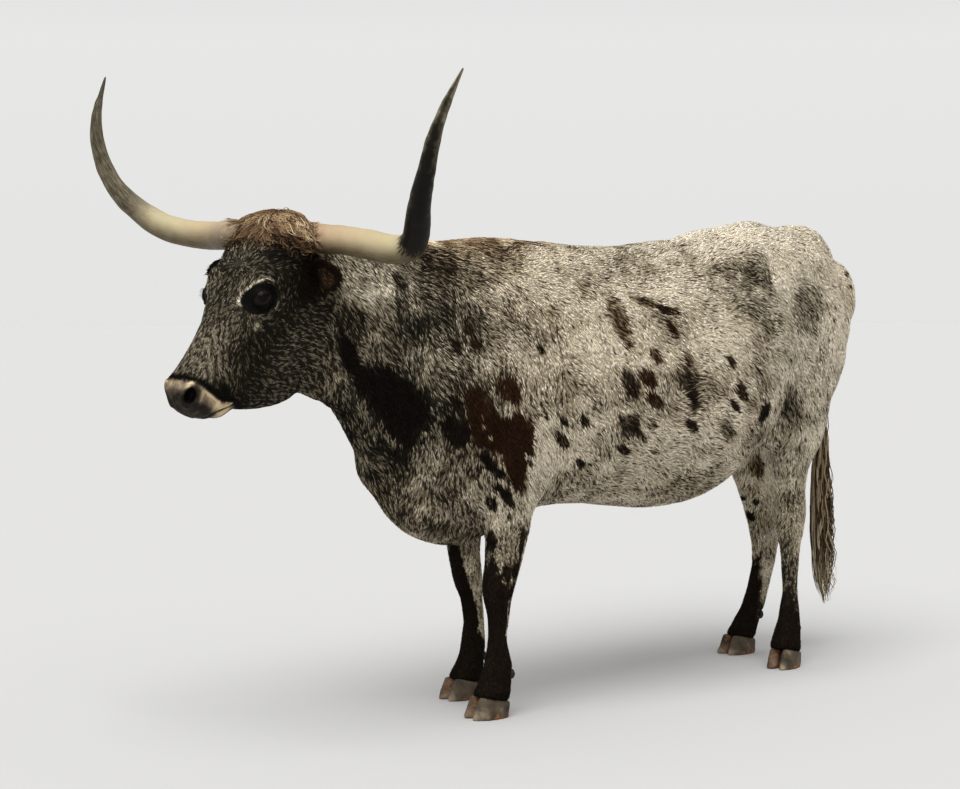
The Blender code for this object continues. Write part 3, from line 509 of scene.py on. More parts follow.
# Dark marks read from the photo: column and row of one end and of the other, half width in pixels,
# darkness, warmth and softness of the edge.
MARKS = (
    # neck and throat
    (342, 331, 359, 377, 8, 1, 0, 0.3), (363, 367, 399, 420, 17, 1, 0, 0.3),
    (380, 377, 426, 430, 19, 1, 0, 0.3), (388, 426, 418, 443, 9, 1, 0, 0.3),
    (384, 447, 410, 476, 13, 0.6, 0, 0.8),
    # shoulder
    (443, 420, 464, 443, 9, 1, 0, 0.2), (464, 419, 525, 446, 16, 1, 0.8, 0.2),
    (512, 445, 523, 490, 10, 1, 0.7, 0.2), (475, 447, 506, 478, 5, 1, 0, 0.2),
    (468, 386, 479, 420, 7, 1, 0.9, 0.3), (483, 396, 492, 415, 5, 1, 0.7, 0.3),
    (452, 398, 464, 411, 4, 1, 0.2, 0.3), (510, 375, 519, 403, 5, 0.8, 1, 0.6),
    (465, 318, 472, 335, 3.5, 0.9, 0.4, 0.3), (474, 336, 480, 350, 3, 0.9, 0.4, 0.3),
    (454, 337, 461, 353, 3.5, 0.8, 0.1, 0.6), (396, 271, 403, 287, 4, 0.7, 0.1, 0.7),
    (362, 310, 363, 323, 2.2, 0.9, 0, 0.3), (540, 343, 544, 354, 2.2, 0.9, 0.2, 0.3),
    (544, 409, 548, 420, 2.5, 0.9, 0.3, 0.3), (539, 413, 540, 417, 1.5, 0.9, 0.2, 0.3),
    (530, 420, 533, 431, 2, 0.9, 0.3, 0.3), (556, 432, 567, 447, 4.5, 1, 0.4, 0.2),
    (530, 448, 534, 456, 2, 0.9, 0.2, 0.3), (530, 458, 533, 466, 2.5, 0.9, 0.2, 0.3),
    (479, 467, 479, 469, 2, 1, 0, 0.2), (487, 467, 488, 469, 2, 1, 0, 0.2),
    (495, 486, 501, 491, 3.5, 1, 0, 0.2), (501, 490, 514, 506, 4, 1, 0, 0.2),
    (487, 496, 494, 509, 4, 1, 0, 0.2), (507, 513, 512, 520, 2.5, 1, 0, 0.2),
    (486, 533, 494, 548, 5, 1, 0, 0.2), (507, 532, 508, 534, 1.5, 1, 0, 0.2),
    # side, belly and hips
    (637, 297, 655, 305, 3.4, 0.7, 0.5, 0.5), (655, 305, 679, 314, 3, 0.9, 0.5, 0.3),
    (670, 323, 677, 336, 3, 0.8, 0.7, 0.4), (612, 299, 631, 345, 6, 0.55, 0.8, 0.9),
    (630, 343, 633, 347, 3, 0.7, 0.6, 0.5), (654, 349, 660, 363, 4, 0.7, 0.7, 0.5),
    (687, 351, 690, 366, 2.5, 0.5, 0.8, 0.6), (642, 370, 655, 384, 6, 0.8, 1, 0.4),
    (625, 375, 642, 397, 7, 0.75, 0.2, 0.8), (646, 394, 664, 405, 5, 0.8, 1, 0.4),
    (681, 370, 696, 390, 8, 0.6, 0.1, 0.9), (692, 394, 696, 410, 3, 0.8, 0.1, 0.5),
    (620, 418, 640, 433, 7, 0.75, 0.1, 0.8), (648, 425, 657, 427, 3, 0.6, 0.1, 0.6),
    (643, 434, 647, 443, 2, 0.8, 0.1, 0.4), (619, 446, 629, 454, 3.5, 0.95, 0.2, 0.3),
    (651, 451, 658, 455, 2, 0.7, 0.1, 0.5), (579, 460, 585, 469, 3, 0.95, 0.1, 0.3),
    (590, 464, 591, 466, 2, 0.7, 0, 0.5), (583, 415, 588, 426, 3, 0.95, 0.2, 0.3),
    (561, 417, 568, 425, 2.5, 0.9, 0.2, 0.3), (605, 428, 605, 430, 2, 0.8, 0, 0.4),
    (729, 353, 735, 367, 3, 0.9, 0.4, 0.3), (759, 370, 760, 373, 2, 0.8, 0.1, 0.4),
    (738, 385, 748, 399, 4, 0.9, 0.5, 0.3), (732, 401, 740, 411, 3, 0.9, 0.3, 0.3),
    (687, 423, 698, 430, 4, 0.9, 0.2, 0.4), (724, 423, 733, 436, 5, 0.5, 0.1, 0.9),
    # The mark from 768, 405 to 762, 423 lies in the flank's fold: painted shade in that crease.
    (768, 405, 762, 423, 4.5, 0.9, 0.1, 0.4), (796, 292, 820, 323, 14, 0.28, 0, 1.2),
    (785, 392, 796, 418, 10, 0.36, 0, 1.1), (748, 253, 770, 282, 12, 0.26, 0, 1.2),
    (718, 271, 735, 277, 6, 0.24, 0.1, 1.2), (835, 316, 837, 322, 1.5, 0.8, 0.2, 0.4),
    (847, 271, 848, 275, 2, 0.8, 0.5, 0.4), (852, 283, 852, 288, 2, 0.8, 0.5, 0.4),
    # far hind leg
    (752, 460, 763, 474, 7, 0.6, 0.9, 0.8), (741, 497, 742, 500, 3, 0.9, 0, 0.3),
    (756, 500, 756, 504, 3, 0.9, 0, 0.3), (748, 512, 752, 520, 4, 0.9, 0, 0.3),
    # near fore leg
    (487, 578, 490, 590, 6, 1, 0, 0.3), (486, 560, 498, 575, 4, 0.8, 0, 0.6),
    (507, 565, 508, 580, 3, 0.9, 0.5, 0.4), (518, 563, 515, 578, 3, 0.9, 0.2, 0.4),
    (525, 530, 521, 560, 1.5, 0.9, 0.2, 0.4),
    # far fore leg
    (452, 545, 455, 560, 4, 1, 0, 0.3), (456, 570, 463, 580, 5, 1, 0, 0.3),
    (462, 585, 464, 600, 4, 0.9, 0, 0.3),
    # more of the shoulder
    (517, 416, 531, 452, 9, 1, 0.8, 0.2), (473, 410, 503, 438, 11, 1, 0.7, 0.2),
    (446, 424, 470, 436, 8, 1, 0.1, 0.2), (500, 380, 516, 398, 8, 0.75, 1, 0.7),
    (474, 388, 486, 402, 6, 1, 0.6, 0.3),
)
LAST_MADE_UP = 0.9       # y past which the far side has no marks of its own

# Pale notches in the shoulder's patch: column and row in the photo, and reach in metres.
NOTCHES = ((485, 427, 0.007), (491, 438, 0.008), (502, 464, 0.009), (483, 418, 0.006))

# Height where each leg turns black behind, and how far up the stripe in front reaches.
BLACK_LEGS = {"leg_fore_left": (0.36, 0.42), "leg_fore_right": (0.19, 0.44),
              "leg_hind_left": (0.19, 0.25), "leg_hind_right": (0.13, 0.30)}


def blended(table, y, z, column):
    """The table's column at each y and z, from its nearest rows."""
    total, weights = np.zeros(len(y)), np.zeros(len(y))
    for row in table:
        weight = 1 / ((y - row[0]) ** 2 + (z - row[1]) ** 2 + 4e-4) ** 2
        total += weight * row[column]
        weights += weight
    return total / weights


def seen_at(surface, column, row):
    """Point of the coat, over the skin's surface, at a pixel of the photo. It is nan beside the animal."""
    right = unit(np.cross(CAMERA_AHEAD, UP))
    down = np.cross(CAMERA_AHEAD, right)
    x, y = column - PHOTO_SIZE[0] / 2, row - PHOTO_SIZE[1] / 2
    way = unit(np.array(CAMERA_AHEAD) + (right * x + down * y) * SENSOR / CAMERA_LENS / PHOTO_SIZE[0])
    place, normal = surface.ray_cast(CAMERA_AT, Vector(way))[:2]
    if place is None:
        return np.full(3, np.nan)
    place = np.array(place)
    return place - way * coat_depth(place[None]) / max(abs(way @ np.array(normal)), 0.3)


def mark_size(surface, ends, half_width):
    """Middle, half length, half width and lean of a mark on the skin, from its ends in the photo."""
    ends = np.array(ends, float).reshape(2, 2)
    middle = ends.mean(0)
    across = unit(ends[1] - ends[0])[::-1] * (-half_width, half_width)
    first, last, centre = (seen_at(surface, *place) for place in (*ends, middle))
    edges = np.array([seen_at(surface, *place) for place in (middle + across, middle - across)])
    way = unit(last - first)
    away = edges - centre
    wide = np.linalg.norm(away - np.outer(away @ way, way), axis=1)
    lean = math.degrees(math.atan2(-way[2], way[1]))
    return centre, max(np.linalg.norm(last - first) / 2, 0.004), np.nanmin(wide), lean


def side_marks(surface):
    """The photo's marks on the skin, and others in the same manner for the side that it doesn't show."""
    shown, made_up = [], []
    rng = np.random.default_rng(51)
    for *ends, half_width, dark, warm, soft in MARKS:
        centre, long, wide, lean = mark_size(surface, ends, half_width)
        shown.append((centre, long, wide, lean, dark, warm, soft))
        if centre[1] > LAST_MADE_UP:
            continue
        shift = rng.normal(0, 0.022, 2)
        outside = Vector((-1.0, centre[1] + shift[0] + 0.02, centre[2] + shift[1]))
        place = surface.ray_cast(outside, Vector((1, 0, 0)))[0]
        if place is not None:
            scale = rng.uniform(0.75, 1.2)
            lean = lean + rng.normal(0, 8)
            made_up.append((np.array(place), long * scale, wide * scale, lean, dark, warm, soft))
    return shown + made_up


def legs_black(points, ragged):
    """1 where a leg is black."""
    black = np.zeros(len(points))
    for name, (behind, front) in BLACK_LEGS.items():
        low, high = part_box(name)
        on = in_box(points, name, 0.02) & (points[:, 2] < 0.55)
        same_side = (points[:, 0] - MIDDLE) * ((low[0] + high[0]) / 2 - MIDDLE) > 0
        lean = leg_front(name, points)
        level = behind + (front - behind) * step(0.45, 0.92, lean) + ragged * 0.022
        above = (points[:, 2] - level) / (0.012 if "fore" in name else 0.045)
        black = np.maximum(black, (on & same_side) * step(1.0, -1.0, above))
    return black


def leg_front(name, points):
    """1 at the front of a leg, 0 behind, by the middle of the leg at that height."""
    line = LEG_LINES[name]
    middle = np.interp(points[:, 2], line[:, 0], line[:, 1])
    half = np.interp(points[:, 2], line[:, 0], line[:, 2])
    return 0.5 - 0.5 * (points[:, 1] - middle) / half


def leg_line(name):
    """Height, middle and half depth of a leg from the floor up."""
    points = points_of(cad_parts[name].data)
    rows = []
    for z in np.arange(0.06, 0.60, 0.03):
        near = points[np.abs(points[:, 2] - z) < 0.035]
        if len(near) > 3:
            front, back = near[:, 1].min(), near[:, 1].max()
            rows.append((z, (back + front) / 2, (back - front) / 2))
    return np.array(rows)


LEG_LINES = {name: leg_line(name) for name in BLACK_LEGS}


def head_share(points):
    """1 on the head, 0 behind it."""
    return step(0.05, -0.06, points[:, 1] - HEAD_END - 0.25 * np.maximum(points[:, 2] - 1.2, 0))


def ear_rim(points, normals):
    """0 in the middle of an ear's hollow side, 1 at its rim and on its back."""
    rim = np.ones(len(points))
    for name, _ in SIDES:
        flesh = points_of(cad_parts["ear_" + name].data)
        middle = (flesh.max(0) + flesh.min(0)) / 2
        axes = np.linalg.eigh(np.cov((flesh - middle).T))[1]
        long, across, thin = axes[:, 2], axes[:, 1], axes[:, 0]
        thin = thin * np.sign(-thin[1])
        q = points - middle
        half_long = np.abs((flesh - middle) @ long).max()
        half_wide = np.abs((flesh - middle) @ across).max()
        away = np.hypot(q @ long / half_long * 0.9, q @ across / half_wide)
        near = np.linalg.norm(q, axis=1) < half_long * 1.3
        facing = step(-0.1, 0.3, normals @ thin)
        rim = np.where(near, 1 - step(0.62, 0.32, away) * facing, rim)
    return rim


def ear_share(points):
    """1 on each ear, for the whole ear."""
    share = np.zeros(len(points))
    for name, side in SIDES:
        low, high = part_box("ear_" + name)
        inside = in_box(points, "ear_" + name, 0.012)
        base = low[0] if side > 0 else high[0]
        share = np.maximum(share, inside * step(0.0, 0.03, (points[:, 0] - base) * side))
    return share


def eye_ring(points):
    """Distance from the eye's dark skin, 1 at its edge, and places along and over the eye."""
    best, along_best, over_best = np.full(len(points), 9.0), np.zeros(len(points)), np.zeros(len(points))
    for name, side in SIDES:
        look, along, over = eye_axes(side)
        q = points - eye_at(name)
        x, y = q @ along - 0.002, q @ over + 0.002
        reach = 1.0 if side > 0 else 0.86
        ring = np.where(q @ look > -0.03, np.hypot(x / 0.0475, y / 0.0355) / reach, 9.0)
        along_best = np.where(ring < best, x, along_best)
        over_best = np.where(ring < best, y, over_best)
        best = np.minimum(best, ring)
    return best, along_best, over_best


def head_pattern(points, normals, pale, warm):
    """Markings of the head in place of the body's."""
    down, out, left = in_head(points)
    half = np.abs(left)
    share = head_share(points)
    front = step(-0.075, -0.02, out + 0.25 * np.maximum(half - 0.05, 0))
    p = 0.21 + 0.17 * front + 0.12 * step(0.28, 0.38, down) * front - 0.07 * bell(down - 0.20, 0.07) * front
    w = 0.07 - 0.05 * front
    p += 0.26 * bell(np.hypot((down - 0.44) / 0.045, (out + 0.080) / 0.040), 1)
    p -= 0.06 * step(0.41, 0.45, down) * step(-0.045, -0.015, out)
    p += 0.10 * step(-0.16, -0.19, out) * step(0.45, 0.38, down)
    mop = step(0.115, 0.05, np.hypot(down + 0.005, left * 0.75) + 0.012 * ripple(points, 0.02, 12))
    p, w = mix(p, 0.40, mop), mix(w, 1, mop)
    ring, along, over = eye_ring(points)
    arc = ring - 1.08 - 0.19 * step(0.010, -0.030, along)
    bright = bell(arc, 0.070) * step(0.000, 0.018, over) * step(-0.060, -0.046, along)
    bright = bright * step(-2.0, -0.5, ripple(points, 0.012, 14)) * np.where(left > 0, 1, 0.4)
    p = mix(p, 1.0, bright)
    p = mix(p, 0.50, bell(ring - 1.40, 0.20) * step(0.005, 0.03, over) * 0.5)
    p = mix(p, 0.42, bell(ring - 1.28, 0.16) * step(-0.010, -0.028, over))
    p = mix(p, 0.90, bell(np.hypot(along - 0.043, over + 0.0555), 0.009))
    p = p * step(0.97, 1.04, ring)
    w = w * step(0.97, 1.04, ring)
    p = p * (1 - 0.8 * bell(np.hypot((down - 0.10) / 0.06, (half - 0.095) / 0.03), 1))
    ear = ear_share(points)
    inner = 1 - ear_rim(points, normals)
    p, w = mix(p, 0.03 + 0.22 * inner, ear), mix(w, 0.34 + 0.46 * inner, ear)
    rim = bare_edge(down, out, half)
    p = p * (1 - bell(rim + 0.005, 0.007 + 0.006 * step(0.045, 0.058, half)))
    by_mouth = bell(np.hypot((down - 0.465) / 0.020, (out + 0.105) / 0.028), 1) * step(0.03, 0.05, half)
    p = p * (1 - by_mouth)
    share = np.maximum(share, ear)
    return mix(pale, p, share), mix(warm, w, share)


def marked(points, normals, pale, warm, ragged):
    """Pale and warm with the marks, whose edges ragged breaks up, and the notches."""
    for centre, long, wide, lean, dark, tone, soft in placed_marks:
        q = points - centre
        near = np.flatnonzero(dot(q, q) < (max(long, wide) * 1.8 + 0.01) ** 2)
        if len(near) == 0:
            continue
        q, n = q[near], normals[near]
        way = np.array([0.0, math.cos(math.radians(lean)), -math.sin(math.radians(lean))])
        way = unit(way - n * (n @ way)[:, None])
        along = dot(q, way)
        across = np.sqrt(np.maximum(dot(q, q) - along ** 2, 0))
        away = np.hypot(along / (1.06 * long + 0.003), across / (1.15 * wide + 0.002)) + 0.13 * ragged[near]
        edge = 0.10 + 0.35 * soft
        mark = dark * step(1 + edge, 1 - edge, away)
        pale[near] *= 1 - mark
        warm[near] = mix(warm[near], min(1, 0.10 + 1.3 * tone), mark)
    for place, reach in placed_notches:
        gap = bell(np.linalg.norm(points - place, axis=1), reach)
        pale = mix(pale, 0.9, np.minimum(gap * 1.6, 1))
    return pale, warm


def pattern(points, normals):
    """Share of pale hair and warmth of the coat all over the animal."""
    x, y, z = points.T
    pale, warm = blended(ROAN, y, z, 2), blended(ROAN, y, z, 3)
    pale = pale + 0.02 + 0.07 * ripple(points, 0.10, 5) + 0.06 * ripple(points, 0.035, 6)
    # The coat a little darker where the body faces down: painted shade.
    under = step(-0.35, -0.85, normals[:, 2]) * step(0.45, 0.6, z)
    pale = pale * (1 - 0.14 * under)
    crest = bell((x - MIDDLE) / 0.05, 1) * step(-0.62, -0.5, y) * step(-0.02, -0.12, y) * step(1.24, 1.28, z)
    warm = np.maximum(warm, crest)
    pale = mix(pale, 0.55, crest)
    # Paler along each hip's ridge: painted light on that crest.
    pale = pale + 0.35 * hip_ridge(points, 0.013)
    ragged = ripple(points, 0.012, 7) * 0.6 + ripple(points, 0.03, 8) * 0.4
    pale, warm = marked(points, normals, pale, warm, ragged)
    stripe = leg_back_stripe(points, normals) * step(-0.3, 0.4, ragged)
    tail = step(0.0, 0.02, y - TRUNK_END) * step(1.20, 1.10, z)
    for share, pale_there, warm_there in ((legs_black(points, ragged), 0.05, 0.25), (stripe, 0.72, 0.45),
                                          (tail, 0.72, 0.35)):
        pale, warm = mix(pale, pale_there, share), mix(warm, warm_there, share)
    pale, warm = head_pattern(points, normals, pale, warm)
    return np.clip(pale, 0, 1), np.clip(warm, 0, 1)


# Pale stripes down the outer back edge of the legs: lowest and highest place, how squarely they face there.
LEG_STRIPES = (("leg_fore_left", 0.19, 0.345, 0.80), ("leg_hind_left", 0.19, 0.35, 0.86),
               ("leg_hind_left", 0.44, 0.56, 0.84), ("leg_fore_right", 0.20, 0.34, 0.90),
               ("leg_hind_right", 0.42, 0.55, 0.88))


def leg_back_stripe(points, normals):
    """1 on the pale stripes of the legs and hocks."""
    edge = normals @ unit(np.array([0.70, 0.71, 0.0]))
    stripe = np.zeros(len(points))
    for name, low, high, least in LEG_STRIPES:
        box_low, box_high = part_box(name)
        on = (points[:, 0] > box_low[0] - 0.01) & (points[:, 0] < box_high[0] + 0.01)
        on &= (points[:, 1] > box_low[1] - 0.01) & (points[:, 1] < box_high[1] + 0.01)
        ends = step(low, low + 0.04, points[:, 2]) * step(high, high - 0.04, points[:, 2])
        stripe = np.maximum(stripe, on * ends * step(least - 0.08, least + 0.04, edge))
    return stripe


def bare_tone(points):
    """On the muzzle: how bare it is, its tone from dark brown to cream, and the nostrils' insides, near black
    as painted shade.
    """
    down, out, left = in_head(points)
    half = np.abs(left)
    rim = bare_edge(down, out, half)
    bare = step(-0.002, 0.003, rim) * head_share(points)
    q = np.stack([down, out, half], 1) - NOSTRIL_AT
    along, across = q @ NOSTRIL_LONG, q @ NOSTRIL_WIDE
    hole = np.hypot(along / NOSTRIL_HALF[0], across / NOSTRIL_HALF[1])
    above = step(0.015, -0.020, down - 0.531) * step(-0.045, -0.015, out)
    pad = 0.54 * above
    cream = bell(rim - 0.011, 0.007) * step(-0.010, 0.012, half - 0.030)
    wing = bell(hole - 1.75, 0.50) * step(0.048, 0.058, half) * step(-0.035, -0.045, out)
    behind = 0.60 * step(0.050, 0.060, half) * step(-0.03, -0.05, out)
    corner = step(-0.080, -0.105, out) * step(-0.172, -0.152, out) * step(0.54, 0.50, down)
    tone = np.maximum.reduce([pad * 1.08, cream * 0.95, wing, behind * 1.06, corner * 1.18])
    # Darker well below the face's front, on the lower side of the chin and jaw: painted shade.
    tone = tone * (1 - 0.55 * step(-0.150, -0.172, out))
    line = bell(mouth_line(down, out), 0.0035) * step(0.46, 0.475, down)
    tone = tone * (1 - 0.9 * line) * (1 - 0.95 * bell(rim - 0.001, 0.004))
    tone = tone + 0.07 * ripple(points, 0.012, 21)
    shadow = bell(np.maximum(hole - 1, 0), 0.75) * step(0.010, -0.006, across) * (hole > 0.8)
    # The nostrils' insides, near black: painted shade in the openings.
    inside = step(1.15, 0.8, hole) * bell(q @ NOSTRIL_OUT, 0.04)
    return bare, np.clip(tone * (1 - 0.9 * shadow), 0, 1) * (1 - inside), inside * bare


# ---------------------------------------------------------------- materials

# Colours along a value, each as its place and its linear colour.
# COOL's dark stops lean olive: partly the hair's own tone, partly painted green bounce light.
COOL = ((0.0, (0.0026, 0.0025, 0.0020)), (0.30, (0.034, 0.0305, 0.0205)), (0.55, (0.21, 0.177, 0.118)),
        (0.80, (0.54, 0.468, 0.345)), (1.0, (0.95, 0.87, 0.72)))
WARM = ((0.0, (0.018, 0.007, 0.003)), (0.30, (0.080, 0.040, 0.020)), (0.55, (0.25, 0.160, 0.085)),
        (0.80, (0.52, 0.390, 0.225)), (1.0, (0.84, 0.71, 0.50)))
BARE = ((0.0, (0.014, 0.011, 0.008)), (0.3, (0.070, 0.056, 0.038)), (0.55, (0.19, 0.145, 0.095)),
        (1.0, (0.62, 0.47, 0.29)))
# HOLLOW is near black: painted shade inside the nostrils.
HOLLOW = ((0.0, (0.0015, 0.0012, 0.001)), (1.0, (0.003, 0.002, 0.002)))
WETNESS = ((0.0, (0.62, 0.62, 0.62)), (1.0, (0.40, 0.40, 0.40)))
# Painted shade on the horns' downward sides, over their pale part.
HORN_PAINTED_SHADE = ((0.35, (0.070, 0.052, 0.027)), (0.65, (0.13, 0.100, 0.056)))
HORN_DARK = ((0.0, (0.003, 0.0025, 0.002)), (0.48, (0.007, 0.006, 0.004)), (0.68, (0.050, 0.042, 0.025)),
             (0.80, (0.15, 0.125, 0.082)), (1.0, (0.26, 0.22, 0.15)))
CLAW = ((0.0, (0.022, 0.018, 0.014)), (0.5, (0.085, 0.064, 0.042)), (1.0, (0.34, 0.27, 0.18)))
MUD = ((0.3, (0.075, 0.028, 0.015)), (0.7, (0.27, 0.115, 0.052)))
MUD_EDGE = ((0.42, (0, 0, 0)), (0.66, (1, 1, 1)))
IRIS = ((0.0, (0.002, 0.002, 0.002)), (0.33, (0.003, 0.002, 0.002)), (0.42, (0.010, 0.006, 0.003)),
        (0.74, (0.014, 0.008, 0.004)), (0.82, (0.004, 0.003, 0.002)), (1.0, (0.03, 0.02, 0.015)))


def horn_pale(root):
    """Colours of a horn's pale part along it, with root near the head."""
    return ((0.0, (0.20, 0.14, 0.085)), (0.08, root), (0.22, (0.42, 0.320, 0.195)),
            (0.38, (0.42, 0.360, 0.215)), (0.75, (0.34, 0.285, 0.195)), (1.0, (0.18, 0.15, 0.11)))


# Each horn: where its dark part begins and is full, the colour of its root, how blotched the dark part is,
# that part's shade (least, added at the edges seen from the camera as a painted sheen, added at the tip), and
# how far up the painted shade beneath reaches.
HORN_LOOKS = {"left": (0.425, 0.455, (0.36, 0.240, 0.150), 0.70, (0.15, 0.40, 0.38), 0.40),
              "right": (0.47, 0.56, (0.36, 0.280, 0.185), 0.25, (0.73, 0.06, -0.08), 0.75)}


def new_material(name, roughness, **sockets):
    """A material, its nodes and its shader, with plain values on the shader's own sockets."""
    made = bpy.data.materials.new(name)
    made.use_nodes = True
    shader = made.node_tree.nodes["Principled BSDF"]
    shader.inputs["Roughness"].default_value = roughness
    for socket, value in sockets.items():
        shader.inputs[socket.replace("_", " ")].default_value = value
    return made, made.node_tree, shader


def ramp_node(tree, value, stops):
    """Colour ramp driven by a value."""
    ramp = tree.nodes.new("ShaderNodeValToRGB")
    ramp.color_ramp.interpolation = "LINEAR"
    while len(ramp.color_ramp.elements) < len(stops):
        ramp.color_ramp.elements.new(0.5)
    for element, (place, colour) in zip(ramp.color_ramp.elements, stops):
        element.position = place
        element.color = (*colour, 1)
    tree.links.new(value, ramp.inputs["Fac"])
    return ramp.outputs["Color"]


def attribute(tree, name, kind="Fac"):
    node = tree.nodes.new("ShaderNodeAttribute")
    node.attribute_name = name
    return node.outputs[kind]


def noise(tree, scale, detail=3.0, source=None):
    """Noise by place on the object, or by the mesh's vector of the given name."""
    node = tree.nodes.new("ShaderNodeTexNoise")
    node.inputs["Scale"].default_value = scale
    node.inputs["Detail"].default_value = detail
    if source:
        place = attribute(tree, source, "Vector")
    else:
        place = tree.nodes.new("ShaderNodeTexCoord").outputs["Object"]
    tree.links.new(place, node.inputs["Vector"])
    return node.outputs["Fac"]


def maths(tree, operation, *values, clamp=False):
    """Result of a maths node. Each value is a number or another node's output."""
    node = tree.nodes.new("ShaderNodeMath")
    node.operation = operation
    node.use_clamp = clamp
    for socket, value in zip(node.inputs, values):
        if isinstance(value, float):
            socket.default_value = value
        else:
            tree.links.new(value, socket)
    return node.outputs[0]


def add_scaled(tree, value, extra, scale, clamp=True):
    """value + (extra - 0.5) * scale"""
    lowered = maths(tree, "SUBTRACT", value, scale / 2)
    return maths(tree, "MULTIPLY_ADD", extra, scale, lowered, clamp=clamp)


def varied(tree, value, extra, spread):
    """value * (1 + (extra - 0.5) * spread)"""
    return maths(tree, "MULTIPLY", value, maths(tree, "MULTIPLY_ADD", extra, spread, 1 - spread / 2))


def mixed(tree, first, second, share):
    """Blend of two colours by a value."""
    node = tree.nodes.new("ShaderNodeMix")
    node.data_type = "RGBA"
    tree.links.new(share, node.inputs["Factor"])
    tree.links.new(first, node.inputs["A"])
    tree.links.new(second, node.inputs["B"])
    return node.outputs["Result"]


def finish_shader(tree, shader, colour, height=None, strength=0.0, distance=0.0):
    """Links the colour, and the bumps where there is a height for them."""
    tree.links.new(colour, shader.inputs["Base Color"])
    if height is None:
        return
    bump = tree.nodes.new("ShaderNodeBump")
    bump.inputs["Strength"].default_value = strength
    bump.inputs["Distance"].default_value = distance
    tree.links.new(height, bump.inputs["Height"])
    tree.links.new(bump.outputs["Normal"], shader.inputs["Normal"])


def hair_colour(tree, grain):
    """Colour of hair from the mesh's pale and warm values."""
    pale = varied(tree, attribute(tree, "pale"), noise(tree, grain), 0.55)
    return mixed(tree, ramp_node(tree, pale, COOL), ramp_node(tree, pale, WARM), attribute(tree, "warm"))


def hair_material():
    made, tree, shader = new_material("hair", 0.75, Specular_IOR_Level=0.04)
    finish_shader(tree, shader, hair_colour(tree, 260.0))
    return made


def skin_material():
    """Hide: the coat's colours with a fine grain, and bare skin on the muzzle and lids."""
    made, tree, shader = new_material("hide", 0.6, Specular_IOR_Level=0.04)
    tone = add_scaled(tree, attribute(tree, "tone"), noise(tree, 130.0), 0.36)
    colour = mixed(tree, hair_colour(tree, 320.0), ramp_node(tree, tone, BARE), attribute(tree, "bare"))
    # The nostrils' insides take HOLLOW's near black: painted shade.
    colour = mixed(tree, colour, ramp_node(tree, tone, HOLLOW), attribute(tree, "hole"))
    tree.links.new(ramp_node(tree, attribute(tree, "wet"), WETNESS), shader.inputs["Roughness"])
    finish_shader(tree, shader, colour, noise(tree, 420.0, 4.0), 0.55, 0.002)
    return made


def horn_material(name):
    """Horn: pale with faint fibres, dark past a ragged line by the mesh's along value, with painted shade
    beneath and a painted sheen at the dark part's edges.
    """
    dark_from, dark_to, root, blotch = HORN_LOOKS[name][:4]
    made, tree, shader = new_material(f"horn_{name}_look", 0.48, Specular_IOR_Level=0.09)
    fibre = noise(tree, 9.0, 5.0, source="fibre")
    along = attribute(tree, "along")
    pale = ramp_node(tree, add_scaled(tree, along, noise(tree, 60.0), 0.16), horn_pale(root))
    # Painted shade on the horn's downward side, mixed over the pale part.
    under = add_scaled(tree, attribute(tree, "under"), noise(tree, 30.0), 0.25)
    pale = mixed(tree, pale, ramp_node(tree, fibre, HORN_PAINTED_SHADE), under)
    # around holds the dark part's shade, lighter where the surface faces across the camera's view: a painted
    # sheen.
    shade = add_scaled(tree, attribute(tree, "around"), noise(tree, 45.0), blotch, clamp=False)
    dark = ramp_node(tree, add_scaled(tree, shade, fibre, 0.7 - blotch), HORN_DARK)
    ragged = add_scaled(tree, along, fibre, 0.16, clamp=False)
    share = ramp_node(tree, ragged, ((dark_from, (0, 0, 0)), (dark_to, (1, 1, 1))))
    grain = add_scaled(tree, noise(tree, 260.0, 3.0), fibre, 0.6)
    finish_shader(tree, shader, mixed(tree, pale, dark, share), grain, 0.12, 0.001)
    return made


def claw_material():
    """Grey claw, pale at the toe, with dried red and orange mud low down and in the cleft."""
    made, tree, shader = new_material("claw_horn", 0.62, Specular_IOR_Level=0.14)
    shade = add_scaled(tree, attribute(tree, "shade"), noise(tree, 90.0), 0.5)
    mud = ramp_node(tree, noise(tree, 120.0, 4.0), MUD)
    share = add_scaled(tree, attribute(tree, "mud"), noise(tree, 95.0, 6.0), 1.2)
    colour = mixed(tree, ramp_node(tree, shade, CLAW), mud, ramp_node(tree, share, MUD_EDGE))
    finish_shader(tree, shader, colour, add_scaled(tree, share, noise(tree, 300.0), 0.4), 0.5, 0.0015)
    return made


def eye_material():
    """Dark brown iris with a wide dark pupil, wet and glossy."""
    made, tree, shader = new_material("eyeball", 0.16, Specular_IOR_Level=0.07)
    iris = add_scaled(tree, attribute(tree, "iris"), noise(tree, 400.0), 0.12)
    finish_shader(tree, shader, ramp_node(tree, iris, IRIS))
    return made


# ---------------------------------------------------------------- eyes, horns and claws

def finish_piece(made, material, slot, *nodes):
    made.data.materials.clear()
    made.data.materials.append(material)
    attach(made, "root")
    if nodes:
        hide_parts(*nodes)
    return made


